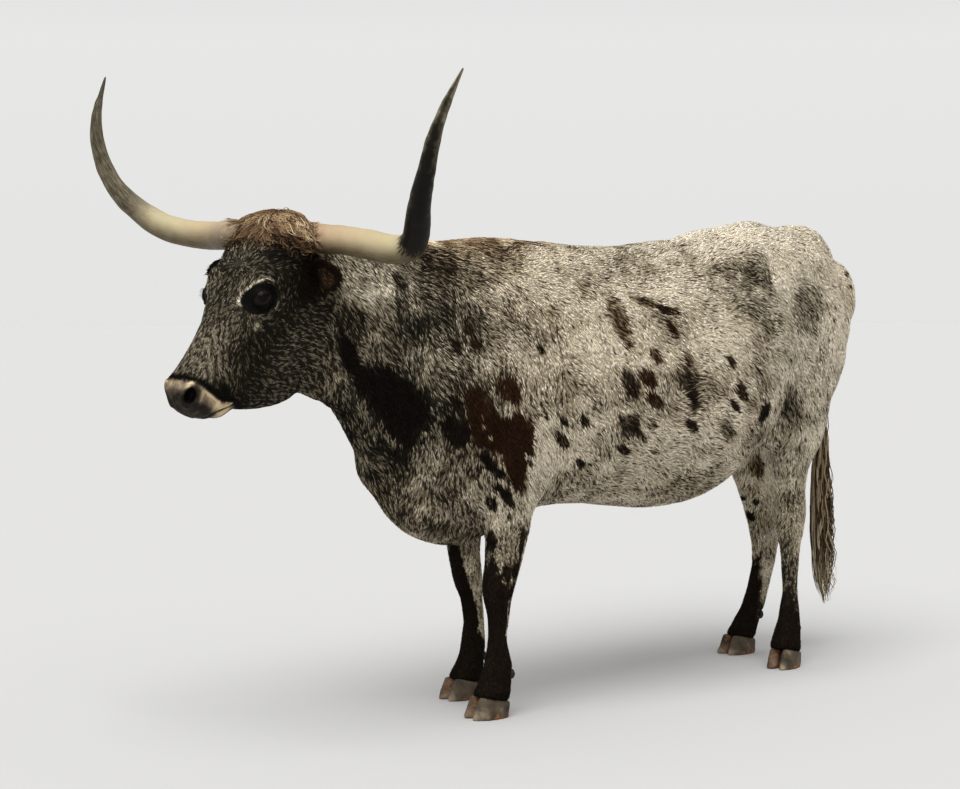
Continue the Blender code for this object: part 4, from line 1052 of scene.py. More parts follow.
def make_eye(name, side, material):
    """Eyeball with a slightly raised cornea; iris holds the distance from the wide pupil's middle."""
    radius = eye_radius(name)
    mesh = bpy.data.meshes.new("eyeball_" + name)
    ball = bmesh.new()
    bmesh.ops.create_uvsphere(ball, u_segments=64, v_segments=48, radius=radius)
    ball.to_mesh(mesh)
    ball.free()
    look, along, over = eye_axes(side)
    points = points_of(mesh)
    turn = np.stack([along, over, look])
    x, y, z = points.T
    from_middle = np.hypot(x, y) / radius
    rise = 0.0016 * step(0.62, 0.30, from_middle) * (z > 0)
    points = points * (1 + rise / radius)[:, None]
    level = np.array([0.0, 1.0, 0.0]) - look * look[1]
    level = unit(level - look * (level @ look))
    world = points @ turn
    wide, tall = world @ level, world @ np.cross(look, level)
    pupil = np.hypot(wide / 1.55, tall) / radius / 0.42
    iris = np.where(z > 0, np.minimum(0.36 * pupil, 0.40) + 0.4 * step(0.55, 0.66, from_middle)
                    + 0.05 * step(0.3, 0.5, from_middle), 1.0)
    set_points(mesh, world + eye_at(name))
    made = new_object("eyeball_" + name, mesh)
    set_values(mesh, iris=iris)
    mesh.shade_smooth()
    return finish_piece(made, material, "eye", "eye_" + name)


def horn_rings(name):
    """Centres and radii of a horn from its root to its tip, read from the solid's rings."""
    work = bmesh.new()
    work.from_mesh(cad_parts["horn_" + name].data)
    bmesh.ops.remove_doubles(work, verts=work.verts, dist=1e-5)
    work.verts.ensure_lookup_table()
    points = np.array([v.co for v in work.verts])
    tip = points[points[:, 2].argmax()]
    layer = set(np.flatnonzero(np.linalg.norm(points - tip, axis=1) < 0.012).tolist())
    seen = set(layer)
    rings = [sorted(layer)]
    while layer:
        layer = {e.other_vert(work.verts[i]).index for i in layer for e in work.verts[i].link_edges} - seen
        seen |= layer
        if layer:
            rings.append(sorted(layer))
    work.free()
    centres = np.array([points[ring].mean(0) for ring in rings])[::-1]
    radii = np.array([np.linalg.norm(points[ring] - centre, axis=1).mean()
                      for ring, centre in zip(rings[::-1], centres)])
    return centres, radii


def spline(values, places, count):
    """Values at even places along, through the given ones, with rounded turns."""
    even = np.linspace(places[0], places[-1], count)
    fine = np.stack([np.interp(even, places, column) for column in values.T], 1)
    for _ in range(int(count * 0.30)):
        fine[1:-1] += (fine[:-2] + fine[2:] - 2 * fine[1:-1]) * 0.45
    return fine


def make_horn(name):
    """Horn as a fine round sweep, with rings near its root, sunk into the head."""
    centres, radii = horn_rings(name)
    inward = unit(centres[0] - centres[1])
    inward = unit(inward + unit(on_head(0.03, -0.10, 0.0) - centres[0]) * 1.2)
    centres = np.vstack([centres[0] + inward * 0.045, centres])
    radii = np.append(radii[0] * 0.85, radii)
    places = np.append(0, np.cumsum(np.linalg.norm(np.diff(centres, axis=0), axis=1)))
    rows, around = 190, 40
    path = spline(np.column_stack([centres, radii]), places, rows)
    path[-1, 3] = 0.0015
    axis = unit(np.gradient(path[:, :3], axis=0))
    first = unit(np.cross(axis, UP))
    second = np.cross(axis, first)
    turn = np.linspace(0, 2 * math.pi, around, endpoint=False)
    along = np.linspace(0, 1, rows)
    rings = 0.0004 * np.sin(along * 330 + 1.2 * np.sin(along * 40)) * step(0.36, 0.05, along)
    radius = path[:, 3] + rings
    ways = first[:, None] * np.cos(turn)[:, None] + second[:, None] * np.sin(turn)[:, None]
    points = path[:, None, :3] + ways * radius[:, None, None]
    points = points.reshape(-1, 3)
    uneven = ripple(points, 0.05, 30) * 0.0008 + ripple(points, 0.016, 31) * 0.0003
    points += ways.reshape(-1, 3) * (uneven * np.repeat(step(1, 0.9, along), around))[:, None]
    faces = grid_faces(rows, around)
    faces += [tuple(range(around))[::-1], tuple((rows - 1) * around + i for i in range(around))]
    mesh = bpy.data.meshes.new("horn_fine_" + name)
    mesh.from_pydata(points.tolist(), [], faces)
    made = new_object("horn_fine_" + name, mesh)
    # sideways is 1 where the surface faces across the camera's view; it lightens the dark part's edges as a
    # painted sheen.
    sideways = np.abs(ways.reshape(-1, 3) @ unit(np.array([0.77, 0.64, 0.0])))
    fibre = np.stack([np.tile(np.cos(turn), rows), np.tile(np.sin(turn), rows),
                      np.repeat(along * 3.0, around)], 1)
    tip = np.repeat(step(0.55, 1.0, along), around)
    (least, painted_edge_sheen, at_tip), beneath = HORN_LOOKS[name][4:]
    shade = least + painted_edge_sheen * sideways + at_tip * tip
    # The last value darkens the horn's downward side: painted shade.
    set_values(mesh, along=np.repeat(along, around), around=shade,
               under=0.95 * step(beneath, -0.85, ways.reshape(-1, 3)[:, 2]))
    layer = mesh.attributes.new("fibre", "FLOAT_VECTOR", "POINT")
    layer.data.foreach_set("vector", fibre.astype(np.float32).ravel())
    mesh.shade_smooth()
    return finish_piece(made, horn_material(name), "horn", "horn_" + name)


def grid_faces(rows, around):
    """Quads between successive closed rings."""
    i = np.arange(rows - 1)[:, None] * around
    j = np.arange(around)[None]
    k = (j + 1) % around
    quads = np.stack(np.broadcast_arrays(i + j, i + k, i + around + k, i + around + j), -1).reshape(-1, 4)
    return [tuple(quad) for quad in quads.tolist()]


def make_claw(node, material):
    """A claw or dewclaw with rounded faces, faint growth ridges and lumps of mud."""
    small = node.startswith("dewclaw")
    made = fused(node + "_fine", (node,), 0.0016 if small else 0.0024)
    points, edges = points_of(made.data), edges_of(made.data)
    low, high = (np.array(corner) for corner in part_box(node))
    flat = (points[:, 2] < 0.002)
    tall = (points[:, 2] - low[2]) / (high[2] - low[2])
    weight = np.where(flat, 0.1, 0.35 + 0.55 * step(0.5, 0.85, tall))
    points = relax(points, edges, weight, 10 if small else 26)
    set_points(made.data, points)
    normals = normals_of(made.data)
    tall = (points[:, 2] - low[2]) / (high[2] - low[2])
    ahead = (high[1] - points[:, 1]) / (high[1] - low[1])
    wander = 0.004 * ripple(points, 0.03, 43)
    wave = np.sin((points[:, 2] + 0.25 * points[:, 1] + wander) * 2 * math.pi / 0.0085)
    ridges = 0.00022 * wave * step(0.02, 0.2, tall)
    lumps = 0.0016 * np.maximum(ripple(points, 0.012, 41) - 0.4, 0) * step(0.6, 0.1, tall)
    points = points + normals * ((ridges + lumps) * (~flat) + 0.0004)[:, None]
    points[:, 2] = np.maximum(points[:, 2], 0)
    set_points(made.data, points)
    to_cleft = normals[:, 0] * (-1 if ("left" in node) == ("outer" in node) else 1)
    shade = 0.36 + 0.40 * step(0.6, 1.0, ahead) * step(0.6, 0.1, tall) + 0.12 * ripple(points, 0.02, 42)
    mud = 0.16 + 0.52 * step(0.50, 0.0, tall) * step(0.95, 0.45, ahead) + 0.34 * step(0.15, 0.6, to_cleft)
    if small:
        points[:, 1] -= 0.005
        set_points(made.data, points)
        shade, mud = -0.35, mud * 0.1
    set_values(made.data, shade=shade, mud=np.clip(mud, 0, 1))
    made.data.shade_smooth()
    return finish_piece(made, material, "claw", node)


# ---------------------------------------------------------------- coat

PIECE_FACES = 196000     # triangles that one coat piece may have
OVERSAMPLE = 2.6         # random roots for each that can stay
PATCH = 0.0015           # half width of a tuft's patch on the OFBake map

# Sizes of the tufts on the body, and what head, lower leg and foot add to them.
SPACING = (0.0057, -0.0026, -0.0009, -0.0008)
LENGTH = (0.0220, -0.0090, -0.0085, -0.0025)
WIDTH = (0.0038, -0.0018, -0.0008, -0.0004)
LIFT = (0.0036, -0.0018, -0.0010, -0.0008)       # height of the tip

# A tuft's corners are its root, its two edges, its ridge and its tip. Here are its faces, and where its
# corners lie on its patch of the map.
TUFT_FACES = np.array([(0, 3, 1), (0, 2, 3), (0, 1, 2), (4, 1, 3), (4, 3, 2), (4, 2, 1)])
TUFT_SHAPE = np.array([(0.0, -1.0), (-1.0, -0.1), (1.0, -0.1), (0.0, 0.25), (0.0, 1.0)])

# How the coat lies, seen from the side: y, z, degrees below the way to the tail.
LIE = np.array([
    (-0.60, 1.15, 70), (-0.42, 1.12, 70), (-0.66, 1.27, 62), (-0.53, 1.25, 58), (-0.76, 1.20, 70),
    (-0.40, 1.21, 52), (-0.20, 1.04, 74), (0.03, 1.03, 72), (0.17, 1.03, 50), (0.33, 1.00, 34),
    (0.33, 0.77, 26), (0.00, 0.78, 60), (-0.12, 0.64, 60), (0.10, 0.66, 18), (0.45, 0.66, 14),
    (-0.75, 1.10, 62), (-0.40, 1.30, 12), (-0.10, 1.31, 8), (0.20, 1.30, 10), (0.50, 1.30, 10),
    (0.80, 1.36, 14), (0.12, 1.18, 40), (0.45, 1.18, 26), (0.60, 1.22, 36), (0.58, 1.02, 40),
    (0.56, 0.84, 40), (0.74, 1.24, 60), (0.88, 1.20, 53), (0.86, 0.98, 70), (0.79, 0.80, 80),
    (1.05, 1.15, 60), (1.02, 0.90, 78), (-0.50, 0.62, 85), (-0.55, 0.80, 78), (-0.35, 0.80, 74),
    (-0.30, 0.62, 80), (0.90, 0.62, 82),
])
# Whorls of the flank's hair, seen from the side: y, z, reach, strength and sense of the turn.
SWIRLS = ((0.235, 0.87, 0.085, 1.5), (0.30, 1.10, 0.05, -0.9), (0.10, 0.80, 0.06, -0.8),
          (0.66, 1.20, 0.05, -0.6))


def lie_of(points, normals):
    """The way the hair lies at each point, along the surface."""
    x, y, z = points.T
    angle = np.radians(blended(LIE, y, z, 2))
    way = np.stack([np.zeros(len(x)), np.cos(angle), -np.sin(angle)], 1)
    for middle, height, reach, spin in SWIRLS:
        across, upward = y - middle, z - height
        far = np.hypot(across, upward)
        share = spin * bell(far, reach) / (far + 0.01)
        way[:, 1] -= share * upward
        way[:, 2] += share * across
    way = toward(way, (0, 0.10, -1.0), step(0.60, 0.52, z))
    way = toward(way, (0, 0.15, -1.0), step(-0.03, 0.0, y - TRUNK_END))
    way = toward(way, head_lie(points), head_share(points))
    for name, side in SIDES:
        outward = unit(np.array([side * 0.9, 0.1, -0.35]))
        way = toward(way, outward, in_box(points, "ear_" + name, 0.01).astype(float))
    way = unit(way - normals * dot(way, normals)[:, None])
    bend = np.radians(11 * ripple(points, 0.07, 50) + 9 * ripple(points, 0.022, 51))
    return unit(way * np.cos(bend)[:, None] + np.cross(normals, way) * np.sin(bend)[:, None])


def toward(way, other, share):
    return mix(way, np.asarray(other), share[:, None])


def head_lie(points):
    """Down the face from the whorl, up and out above it, back over the cheeks and along the jaw."""
    down, out, left = in_head(points)
    front = step(-0.075, -0.02, out + 0.25 * np.maximum(np.abs(left) - 0.05, 0))
    above = step(0.20, 0.12, down)
    spread = left / (np.abs(left) + 0.03)
    face = FACE_DOWN * (1 - 2 * above)[:, None] + HEAD_LEFT * (spread * (0.35 + 0.65 * above))[:, None]
    jaw = step(-0.12, -0.17, out)
    cheek = np.stack([np.zeros(len(jaw)), 0.20 + 0.7 * jaw, -1.0 + 0.7 * jaw], 1)
    way = face * front[:, None] + cheek * (1 - front)[:, None]
    for name, side in SIDES:
        look, along = eye_axes(side)[:2]
        q = points - eye_at(name)
        away = np.linalg.norm(q, axis=1)
        q = unit(q - look * (q @ look)[:, None])
        back = -along - look * 0.1
        flow = back - q * (1.2 * (q @ back))[:, None]
        way = toward(way, flow, step(0.105, 0.050, away))
    return way


def by_region(sizes, points):
    """A size of the tufts at each point: the body's, and what head, lower leg and foot add to it."""
    body, head, leg, foot = sizes
    z = points[:, 2]
    return body + head * head_share(points) + leg * step(0.64, 0.44, z) + foot * step(0.34, 0.26, z)


def spacing_of(points):
    return by_region(SPACING, points)


def roots_on(mesh, spread, seed):
    """Random roots on the skin about spread(points) apart, with the skin's normals there."""
    rng = np.random.default_rng(seed)
    mesh.calc_loop_triangles()
    triangles = read(mesh.loop_triangles, "vertices", 3, np.int32)
    points, normals = points_of(mesh), normals_of(mesh)
    a, b, c = (points[triangles[:, i]] for i in range(3))
    area = np.linalg.norm(np.cross(b - a, c - a), axis=1) / 2
    wanted = area * OVERSAMPLE / spread((a + b + c) / 3) ** 2
    count = (wanted + rng.random(len(wanted))).astype(int)
    picked = triangles[np.repeat(np.arange(len(triangles)), count)]
    u, v = rng.random((2, len(picked)))
    flip = u + v > 1
    u, v = np.where(flip, 1 - u, u), np.where(flip, 1 - v, v)
    weights = np.stack([1 - u - v, u, v], 1)[:, :, None]
    roots, ways = (points[picked] * weights).sum(1), unit((normals[picked] * weights).sum(1))
    gap = np.round(spread(roots), 4)
    cell = np.floor(roots / gap[:, None]).astype(np.int64)
    key = (cell[:, 0] * 73856093) ^ (cell[:, 1] * 19349663) ^ (cell[:, 2] * 83492791)
    key = key * 31 + (gap * 1e4).astype(int)
    order = rng.permutation(len(roots))
    first = order[np.unique(key[order], return_index=True)[1]]
    return roots[first], ways[first]


def nearest(surface, points):
    """Nearest points of the skin, and its normals there."""
    found = [surface.find_nearest(Vector(p)) for p in points.tolist()]
    return np.array([f[0] for f in found]), np.array([f[1] for f in found])


def tuft_sizes(points, rng):
    """Length, width and height of the tip of each tuft."""
    z, y = points[:, 2], points[:, 1]
    long, wide, lift = (by_region(sizes, points) for sizes in (LENGTH, WIDTH, LIFT))
    swirl = bell(np.hypot(y - 0.23, z - 0.88), 0.12) + 0.6 * bell(np.hypot(y - 0.62, z - 1.2), 0.08)
    lift = lift + 0.003 * swirl
    coronet = step(0.100, 0.070, z)
    long = long + 0.011 * coronet
    lift = lift + 0.0035 * coronet
    down = in_head(points)[0]
    long = long + 0.007 * step(0.16, 0.08, down) * head_share(points)
    spread = rng.uniform(0.7, 1.3, (3, len(points)))
    return long * spread[0], wide * spread[1], lift * spread[2]


def tuft_values(pale, warm, points, way, rng):
    """Pale and warm of each tuft, as in a roan coat: most are either pale or dark, in short streaks."""
    streak = sum(ripple(points + way * shift, 0.0048, 60) for shift in (-0.005, -0.0025, 0, 0.0025, 0.005))
    chance = 0.65 * rng.normal(size=len(pale)) + 0.76 * streak / streak.std()
    picked = 1 / (1 + np.exp(-1.7 * chance)) < np.clip((pale - 0.07) / 0.83, 0, 0.91)
    light = 0.37 + 0.61 * pale + 0.18 * (rng.random(len(pale)) - 0.3)
    dark = 0.01 + 0.26 * pale ** 2 + 0.12 * pale * rng.random(len(pale))
    found = 0.28 * pale ** 1.5 + 0.72 * np.where(picked, light, dark)
    spread = rng.normal(0, 0.05, len(pale)) * np.sqrt(pale + 0.02) * 2
    return found + spread, warm + rng.normal(0, 0.10, len(pale)) * (0.3 + warm)


def tuft_corners(surface, roots, normals, way, rng):
    """Corners of a tuft on each root, its middle on the skin and the skin's normal there."""
    long, wide, lift = tuft_sizes(roots, rng)
    middle, middle_up = nearest(surface, roots + way * (0.42 * long)[:, None])
    astray = way + np.cross(normals, way) * rng.normal(0, 0.12, (len(roots), 1))
    tip, tip_up = nearest(surface, roots + astray * long[:, None])
    side = unit(np.cross(middle_up, tip - roots)) * (wide / 2)[:, None]
    base = middle + middle_up * (0.25 * lift)[:, None]
    corners = np.stack([roots - normals * 0.0012, base + side, base - side,
                        base + middle_up * (0.32 * wide)[:, None], tip + tip_up * lift[:, None]], 1)
    return corners, middle, middle_up


def make_coat(skin, surface, material):
    """The short coat in pieces of joined tufts. Each tuft is a double-ended lock, widest near its root."""
    rng = np.random.default_rng(70)
    roots, normals = roots_on(skin.data, spacing_of, 71)
    down, out, left = in_head(roots)
    bare = step(-0.003, 0.0, bare_edge(down, out, np.abs(left))) * head_share(roots)
    ring = eye_ring(roots)[0]
    keep = (bare < 0.5) & (ring > 0.80) & (roots[:, 2] > 0.050)
    roots, normals = roots[keep], normals[keep]
    way = lie_of(roots, normals)
    corners, middle, middle_up = tuft_corners(surface, roots, normals, way, rng)
    pale, warm = pattern(middle, middle_up)
    pale, warm = tuft_values(pale, warm, roots, way, rng)
    edges = rng.normal(0, 0.10, (2, len(roots))) * np.sqrt(np.clip(pale, 0, 1))
    # Each tuft is darker at its root and a little lighter on its ridge and tip: painted shade and light along
    # it. Its edges vary at random.
    tones = np.stack([pale * 0.70, pale + edges[0], pale + edges[1], pale + 0.03, pale * 1.03 + 0.03], 1)
    chart = unwrap(roots)
    order = rng.permutation(len(roots))
    pieces = math.ceil(len(roots) * len(TUFT_FACES) / PIECE_FACES)
    print("coat:", len(roots), "tufts in", pieces, "pieces")
    for index in range(pieces):
        picked = order[index::pieces]
        made = solid_tufts(f"coat_{index + 1:02d}", corners[picked], TUFT_FACES, TUFT_SHAPE, chart[picked])
        set_values(made.data, pale=np.clip(tones[picked], 0, 1).ravel(),
                   warm=np.repeat(np.clip(warm[picked], 0, 1), len(TUFT_SHAPE)))
        finish_piece(made, material, "roan_hide")


def solid_tufts(name, corners, faces, shape, chart):
    """One mesh of many tufts of the same make: corners per tuft, their faces, and their place on the map."""
    count, each = corners.shape[:2]
    triangles = (faces[None] + np.arange(count)[:, None, None] * each).reshape(-1, 3)
    mesh = bpy.data.meshes.new(name)
    mesh.vertices.add(count * each)
    mesh.vertices.foreach_set("co", corners.astype(np.float32).ravel())
    mesh.loops.add(len(triangles) * 3)
    mesh.loops.foreach_set("vertex_index", triangles.astype(np.int32).ravel())
    mesh.polygons.add(len(triangles))
    mesh.polygons.foreach_set("loop_start", np.arange(len(triangles), dtype=np.int32) * 3)
    mesh.update(calc_edges=True)
    places = chart[:, None] + shape[None] * PATCH
    layer = mesh.uv_layers.new(name="OFBake")
    layer.uv.foreach_set("vector", places.reshape(-1, 2)[triangles.ravel()].astype(np.float32).ravel())
    mesh.shade_smooth()
    mesh.validate()
    return new_object(name, mesh)


def ranked(values):
    """Values as evenly spread places from 0 to 1, in the same order."""
    places = np.empty(len(values))
    places[np.argsort(values, kind="stable")] = (np.arange(len(values)) + 0.5) / max(len(values), 1)
    return places


# Where body, head, tail and the four legs lie on the map: from, to, foot and top.
SHEETS = ((0, 0.60, 0, 1), (0.60, 0.80, 0, 0.93), (0.60, 0.80, 0.93, 1), (0.80, 1, 0, 0.25),
          (0.80, 1, 0.25, 0.50), (0.80, 1, 0.50, 0.75), (0.80, 1, 0.75, 1))


def unwrap(points):
    """Places on a map of the skin: body, head, tail and legs each rolled out round their own axis."""
    x, y, z = points.T
    down, out, left = in_head(points)
    kind = np.zeros(len(points), int)
    kind[z < 0.56] = 3
    kind[(z < 0.56) & (x > MIDDLE)] += 1
    kind[(z < 0.56) & (y > 0.3)] += 2
    kind[(z > 0.56) & (head_share(points) > 0.5)] = 1
    kind[y > TRUNK_END - 0.01] = 2
    chart = np.zeros((len(points), 2))
    for index, (left_edge, right_edge, low, high) in enumerate(SHEETS):
        on = kind == index
        if not on.any():
            continue
        if index == 0:
            angle, along = np.arctan2(x[on] - MIDDLE, z[on] - 0.98), y[on]
        elif index == 1:
            angle, along = np.arctan2(left[on], out[on] + 0.08), down[on]
        else:
            angle = np.arctan2(x[on] - x[on].mean(), y[on] - y[on].mean())
            along = z[on]
        chart[on, 0] = left_edge + 0.002 + ranked(angle) * (right_edge - left_edge - 0.004)
        chart[on, 1] = low + 0.002 + ranked(along) * (high - low - 0.004)
    return chart


# ---------------------------------------------------------------- long hair

LOCK_ROWS = 6            # rings of corners along a lock, but for the switch
CLEAR = 0.002            # least height of a lock above the surface that it lies on


def grow(roots, ways, long, rng, wave, fall, surface=None, ups=None):
    """Paths of locks: each sets out its own way, waves from side to side and sinks a little.
    Over a surface they lie between CLEAR and a little more above it."""
    count = len(roots)
    path = np.empty((count, LOCK_ROWS, 3))
    path[:, 0] = roots
    heading = unit(ways)
    sideways = unit(np.cross(heading, rng.normal(size=(count, 3)) if ups is None else ups))
    loft = CLEAR + rng.uniform(0.001, 0.008, count)
    stride = (long / (LOCK_ROWS - 1))[:, None]
    phase = rng.uniform(0, 2 * math.pi, count)
    turns = rng.uniform(0.8, 1.6, count)
    for row in range(1, LOCK_ROWS):
        swing = wave * np.cos(phase + turns * 2 * math.pi * row / LOCK_ROWS)
        heading = unit(heading + np.array([0, 0, -fall]))
        path[:, row] = path[:, row - 1] + unit(heading + sideways * swing[:, None]) * stride
        if surface is not None:
            near, up = nearest(surface, path[:, row])
            away = unit(path[:, row] - near)
            away = np.where(dot(away, up)[:, None] > 0.3, away, up)
            rise = dot(path[:, row] - near, up)
            most = loft * math.sin(math.pi * (row + 1) / (LOCK_ROWS + 2)) + CLEAR
            path[:, row] = near + away * np.clip(rise, CLEAR, most)[:, None]
            heading = unit(heading - up * (0.8 * dot(heading, up))[:, None])
            sideways = unit(np.cross(heading, up))
    return path


def lock_corners(path, up, wide):
    """Corners of three-sided locks along the paths, thin at both ends."""
    rows = path.shape[1]
    along = np.gradient(path, axis=1)
    side = unit(np.cross(along, up[:, None]))
    over = unit(np.cross(side, along))
    s = np.linspace(0, 1, rows)
    width = (0.35 + 1.3 * np.sqrt(s) * (1 - s) ** 0.55 - 0.30 * s)[None] * wide[:, None] / 2
    width[:, -1] = wide * 0.04
    return np.stack([path + side * width[..., None], path - side * width[..., None],
                     path + over * (width * 0.7)[..., None]], 2).reshape(len(path), rows * 3, 3)


def lock_faces(rows):
    faces = [(0, 1, 2)]
    for row in range(rows - 1):
        a, b = row * 3, row * 3 + 3
        for i, j in ((0, 2), (2, 1), (1, 0)):
            faces += [(a + i, a + j, b + j), (a + i, b + j, b + i)]
    last = (rows - 1) * 3
    faces.append((last, last + 2, last + 1))
    return np.array(faces)


def lock_shape(rows):
    s = np.linspace(-1, 1, rows)
    return np.stack([np.stack([np.full(rows, -1.0), s], 1), np.stack([np.full(rows, 1.0), s], 1),
                     np.stack([np.zeros(rows), s + 0.05], 1)], 1).reshape(-1, 2)


def make_locks(name, path, up, wide, pale, warm, material, slot, chart, *nodes):
    """One piece of long locks. pale and warm hold a value per lock and row."""
    rows = path.shape[1]
    faces = lock_faces(rows)
    corners = lock_corners(path, up, wide)
    made = solid_tufts(name, corners, faces, lock_shape(rows), chart)
    set_values(made.data, pale=np.clip(np.repeat(pale[..., None], 3, 2), 0, 1).ravel(),
               warm=np.clip(np.repeat(warm[..., None], 3, 2), 0, 1).ravel())
    return finish_piece(made, material, slot, *nodes)


def lock_set(path, up, wide, light, fade, warm):
    """Locks with a pale value for each row, light times fade from root to tip, and a warm one. A fade that
    starts low darkens the roots as painted shade among the locks.
    """
    pale = light[:, None] * np.linspace(*fade, LOCK_ROWS)
    return path, up, wide, pale, np.broadcast_to(np.reshape(warm, (-1, 1)), pale.shape)


def thinned(roots, normals, chance, rng):
    keep = rng.random(len(roots)) < chance
    return roots[keep], normals[keep]


def mop_hair(surface, roots, normals, rng):
    """Wavy brown hair over the poll, which falls outwards over the roots of the horns."""
    down, out, left = in_head(roots)
    from_top = np.hypot(down + 0.005, left * 0.72)
    share = np.maximum(step(0.120, 0.05, from_top), 0.25 * step(0.150, 0.10, from_top))
    share = share * step(-0.11, -0.06, out) * head_share(roots)
    roots, normals = thinned(roots, normals, share * 0.95, rng)
    down, out, left = in_head(roots)
    spread = left / (np.abs(left) + 0.035)
    way = HEAD_LEFT * (spread * 1.5)[:, None] + FACE_DOWN * (0.30 + 2.0 * down)[:, None] + normals * 0.15
    swirl = 0.40 * ripple(roots, 0.035, 82)
    way = way + HEAD_LEFT * swirl[:, None] + rng.normal(0, 0.16, (len(roots), 3))
    long = rng.uniform(0.034, 0.062, len(roots)) * step(0.13, 0.03, down)
    long = np.maximum(long, 0.017)
    path = grow(roots, way, long, rng, 0.60, 0.03, surface, normals)
    light = 0.53 + 0.12 * ripple(roots, 0.02, 80) + rng.normal(0, 0.10, len(roots))
    light = light - 0.40 * step(0.035, 0.10, down)
    light = light + 0.15 * step(0.05, 0.10, left) * step(0.06, -0.03, down)
    warm = np.clip(1.05 - 0.4 * (light < 0.30), 0, 1)
    return lock_set(path, normals, rng.uniform(0.0018, 0.0040, len(roots)), light, (0.6, 1.15), warm)


def crest_hair(surface, roots, normals, rng):
    """Tan and blond hair along the top of the neck and withers."""
    x, y, z = roots.T
    share = bell(x - MIDDLE, 0.035) * step(-0.62, -0.5, y) * step(0.02, -0.12, y)
    share = share * step(1.20, 1.25, z) * (1 - head_share(roots))
    roots, normals = thinned(roots, normals, share * 0.42, rng)
    way = np.array([0, 1.0, 0]) + normals * 0.10 + rng.normal(0, 0.14, (len(roots), 3))
    way[:, 0] += 0.35 * np.sign(roots[:, 0] - MIDDLE)
    path = grow(roots, way, rng.uniform(0.030, 0.055, len(roots)), rng, 0.45, 0.0, surface, normals)
    light = 0.62 + 0.20 * ripple(roots, 0.03, 81) + rng.normal(0, 0.10, len(roots))
    return lock_set(path, normals, rng.uniform(0.0022, 0.0045, len(roots)), light, (0.6, 1.15), 0.9)


def ear_hair(roots, normals, rng):
    """Dark hair on the rims and backs of the ears, lighter and longer inside."""
    share = ear_share(roots)
    inner = 1 - ear_rim(roots, normals)
    roots, normals = thinned(roots, normals, share * (0.30 - 0.10 * inner), rng)
    side = np.sign(roots[:, 0] - POLL[0])
    inner = 1 - ear_rim(roots, normals)
    way = np.stack([side * 0.9, np.full(len(side), 0.05), np.full(len(side), -0.35)], 1)
    way = way + normals * (0.30 + 0.15 * inner)[:, None] + rng.normal(0, 0.22, (len(roots), 3))
    long = rng.uniform(0.010, 0.018, len(roots)) * (1 + 0.3 * inner)
    path = grow(roots, way, long, rng, 0.3, 0.08)
    inside = inner > 0.5
    light = np.where(inside, rng.uniform(0.04, 0.40, len(roots)), rng.uniform(0.00, 0.09, len(roots)))
    warm = np.where(inside, 0.9, 0.35)
    return lock_set(path, normals, rng.uniform(0.0018, 0.0034, len(roots)), light, (0.7, 1.1), warm)


def lashes(rng):
    """Black lashes along both upper lids."""
    roots, ways, ups = [], [], []
    for name, side in SIDES:
        look, along, over = eye_axes(side)
        centre = eye_at(name)
        radius = eye_radius(name) + LID_EDGE
        for x in np.linspace(-0.92, 0.85, 34):
            across = x * EYE_HALF
            height = EYE_TOP * (1 - x * x) ** 0.75
            ahead = math.sqrt(max(radius ** 2 - across ** 2 - height ** 2, 1e-6))
            roots.append(centre + along * across + over * height + look * ahead)
            upward, outward = 0.55 + 0.2 * rng.normal(), 0.5 * x + 0.15 * rng.normal()
            ways.append(look * 0.9 + over * upward + along * outward)
            ups.append(over)
    roots, ways, ups = np.array(roots), np.array(ways), np.array(ups)
    path = grow(roots, ways, rng.uniform(0.004, 0.009, len(roots)), rng, 0.15, 0.10)
    count = len(roots)
    return lock_set(path, ups, np.full(count, 0.0009), np.full(count, 0.02), (1, 1), 0.2)


def make_long_hair(skin, surface, over_horns, material):
    """Mop, crest, ear hair and lashes as one piece. The mop also lies over the roots of the horns."""
    rng = np.random.default_rng(90)
    roots, normals = roots_on(skin.data, lambda p: np.full(len(p), 0.0038), 91)
    sets = [mop_hair(over_horns, roots, normals, rng), crest_hair(surface, roots, normals, rng),
            ear_hair(roots, normals, rng), lashes(rng)]
    path, up, wide, pale, warm = (np.concatenate([s[i] for s in sets]) for i in range(5))
    chart = unwrap(path[:, 0])
    print("long hair:", [len(s[0]) for s in sets])
    return make_locks("long_hair", path, up, wide, pale, warm, material, "dark_hide", chart)


def slices(points, heights, reach):
    """Middle and radius of a hanging solid at each height."""
    rows = []
    for height in heights:
        near = points[np.abs(points[:, 2] - height) < reach]
        if len(near) > 2:
            middle = (near.max(0) + near.min(0)) / 2
            rows.append((height, middle[0], middle[1], (near.max(0) - near.min(0))[:2].max() / 2))
    return np.array(rows)


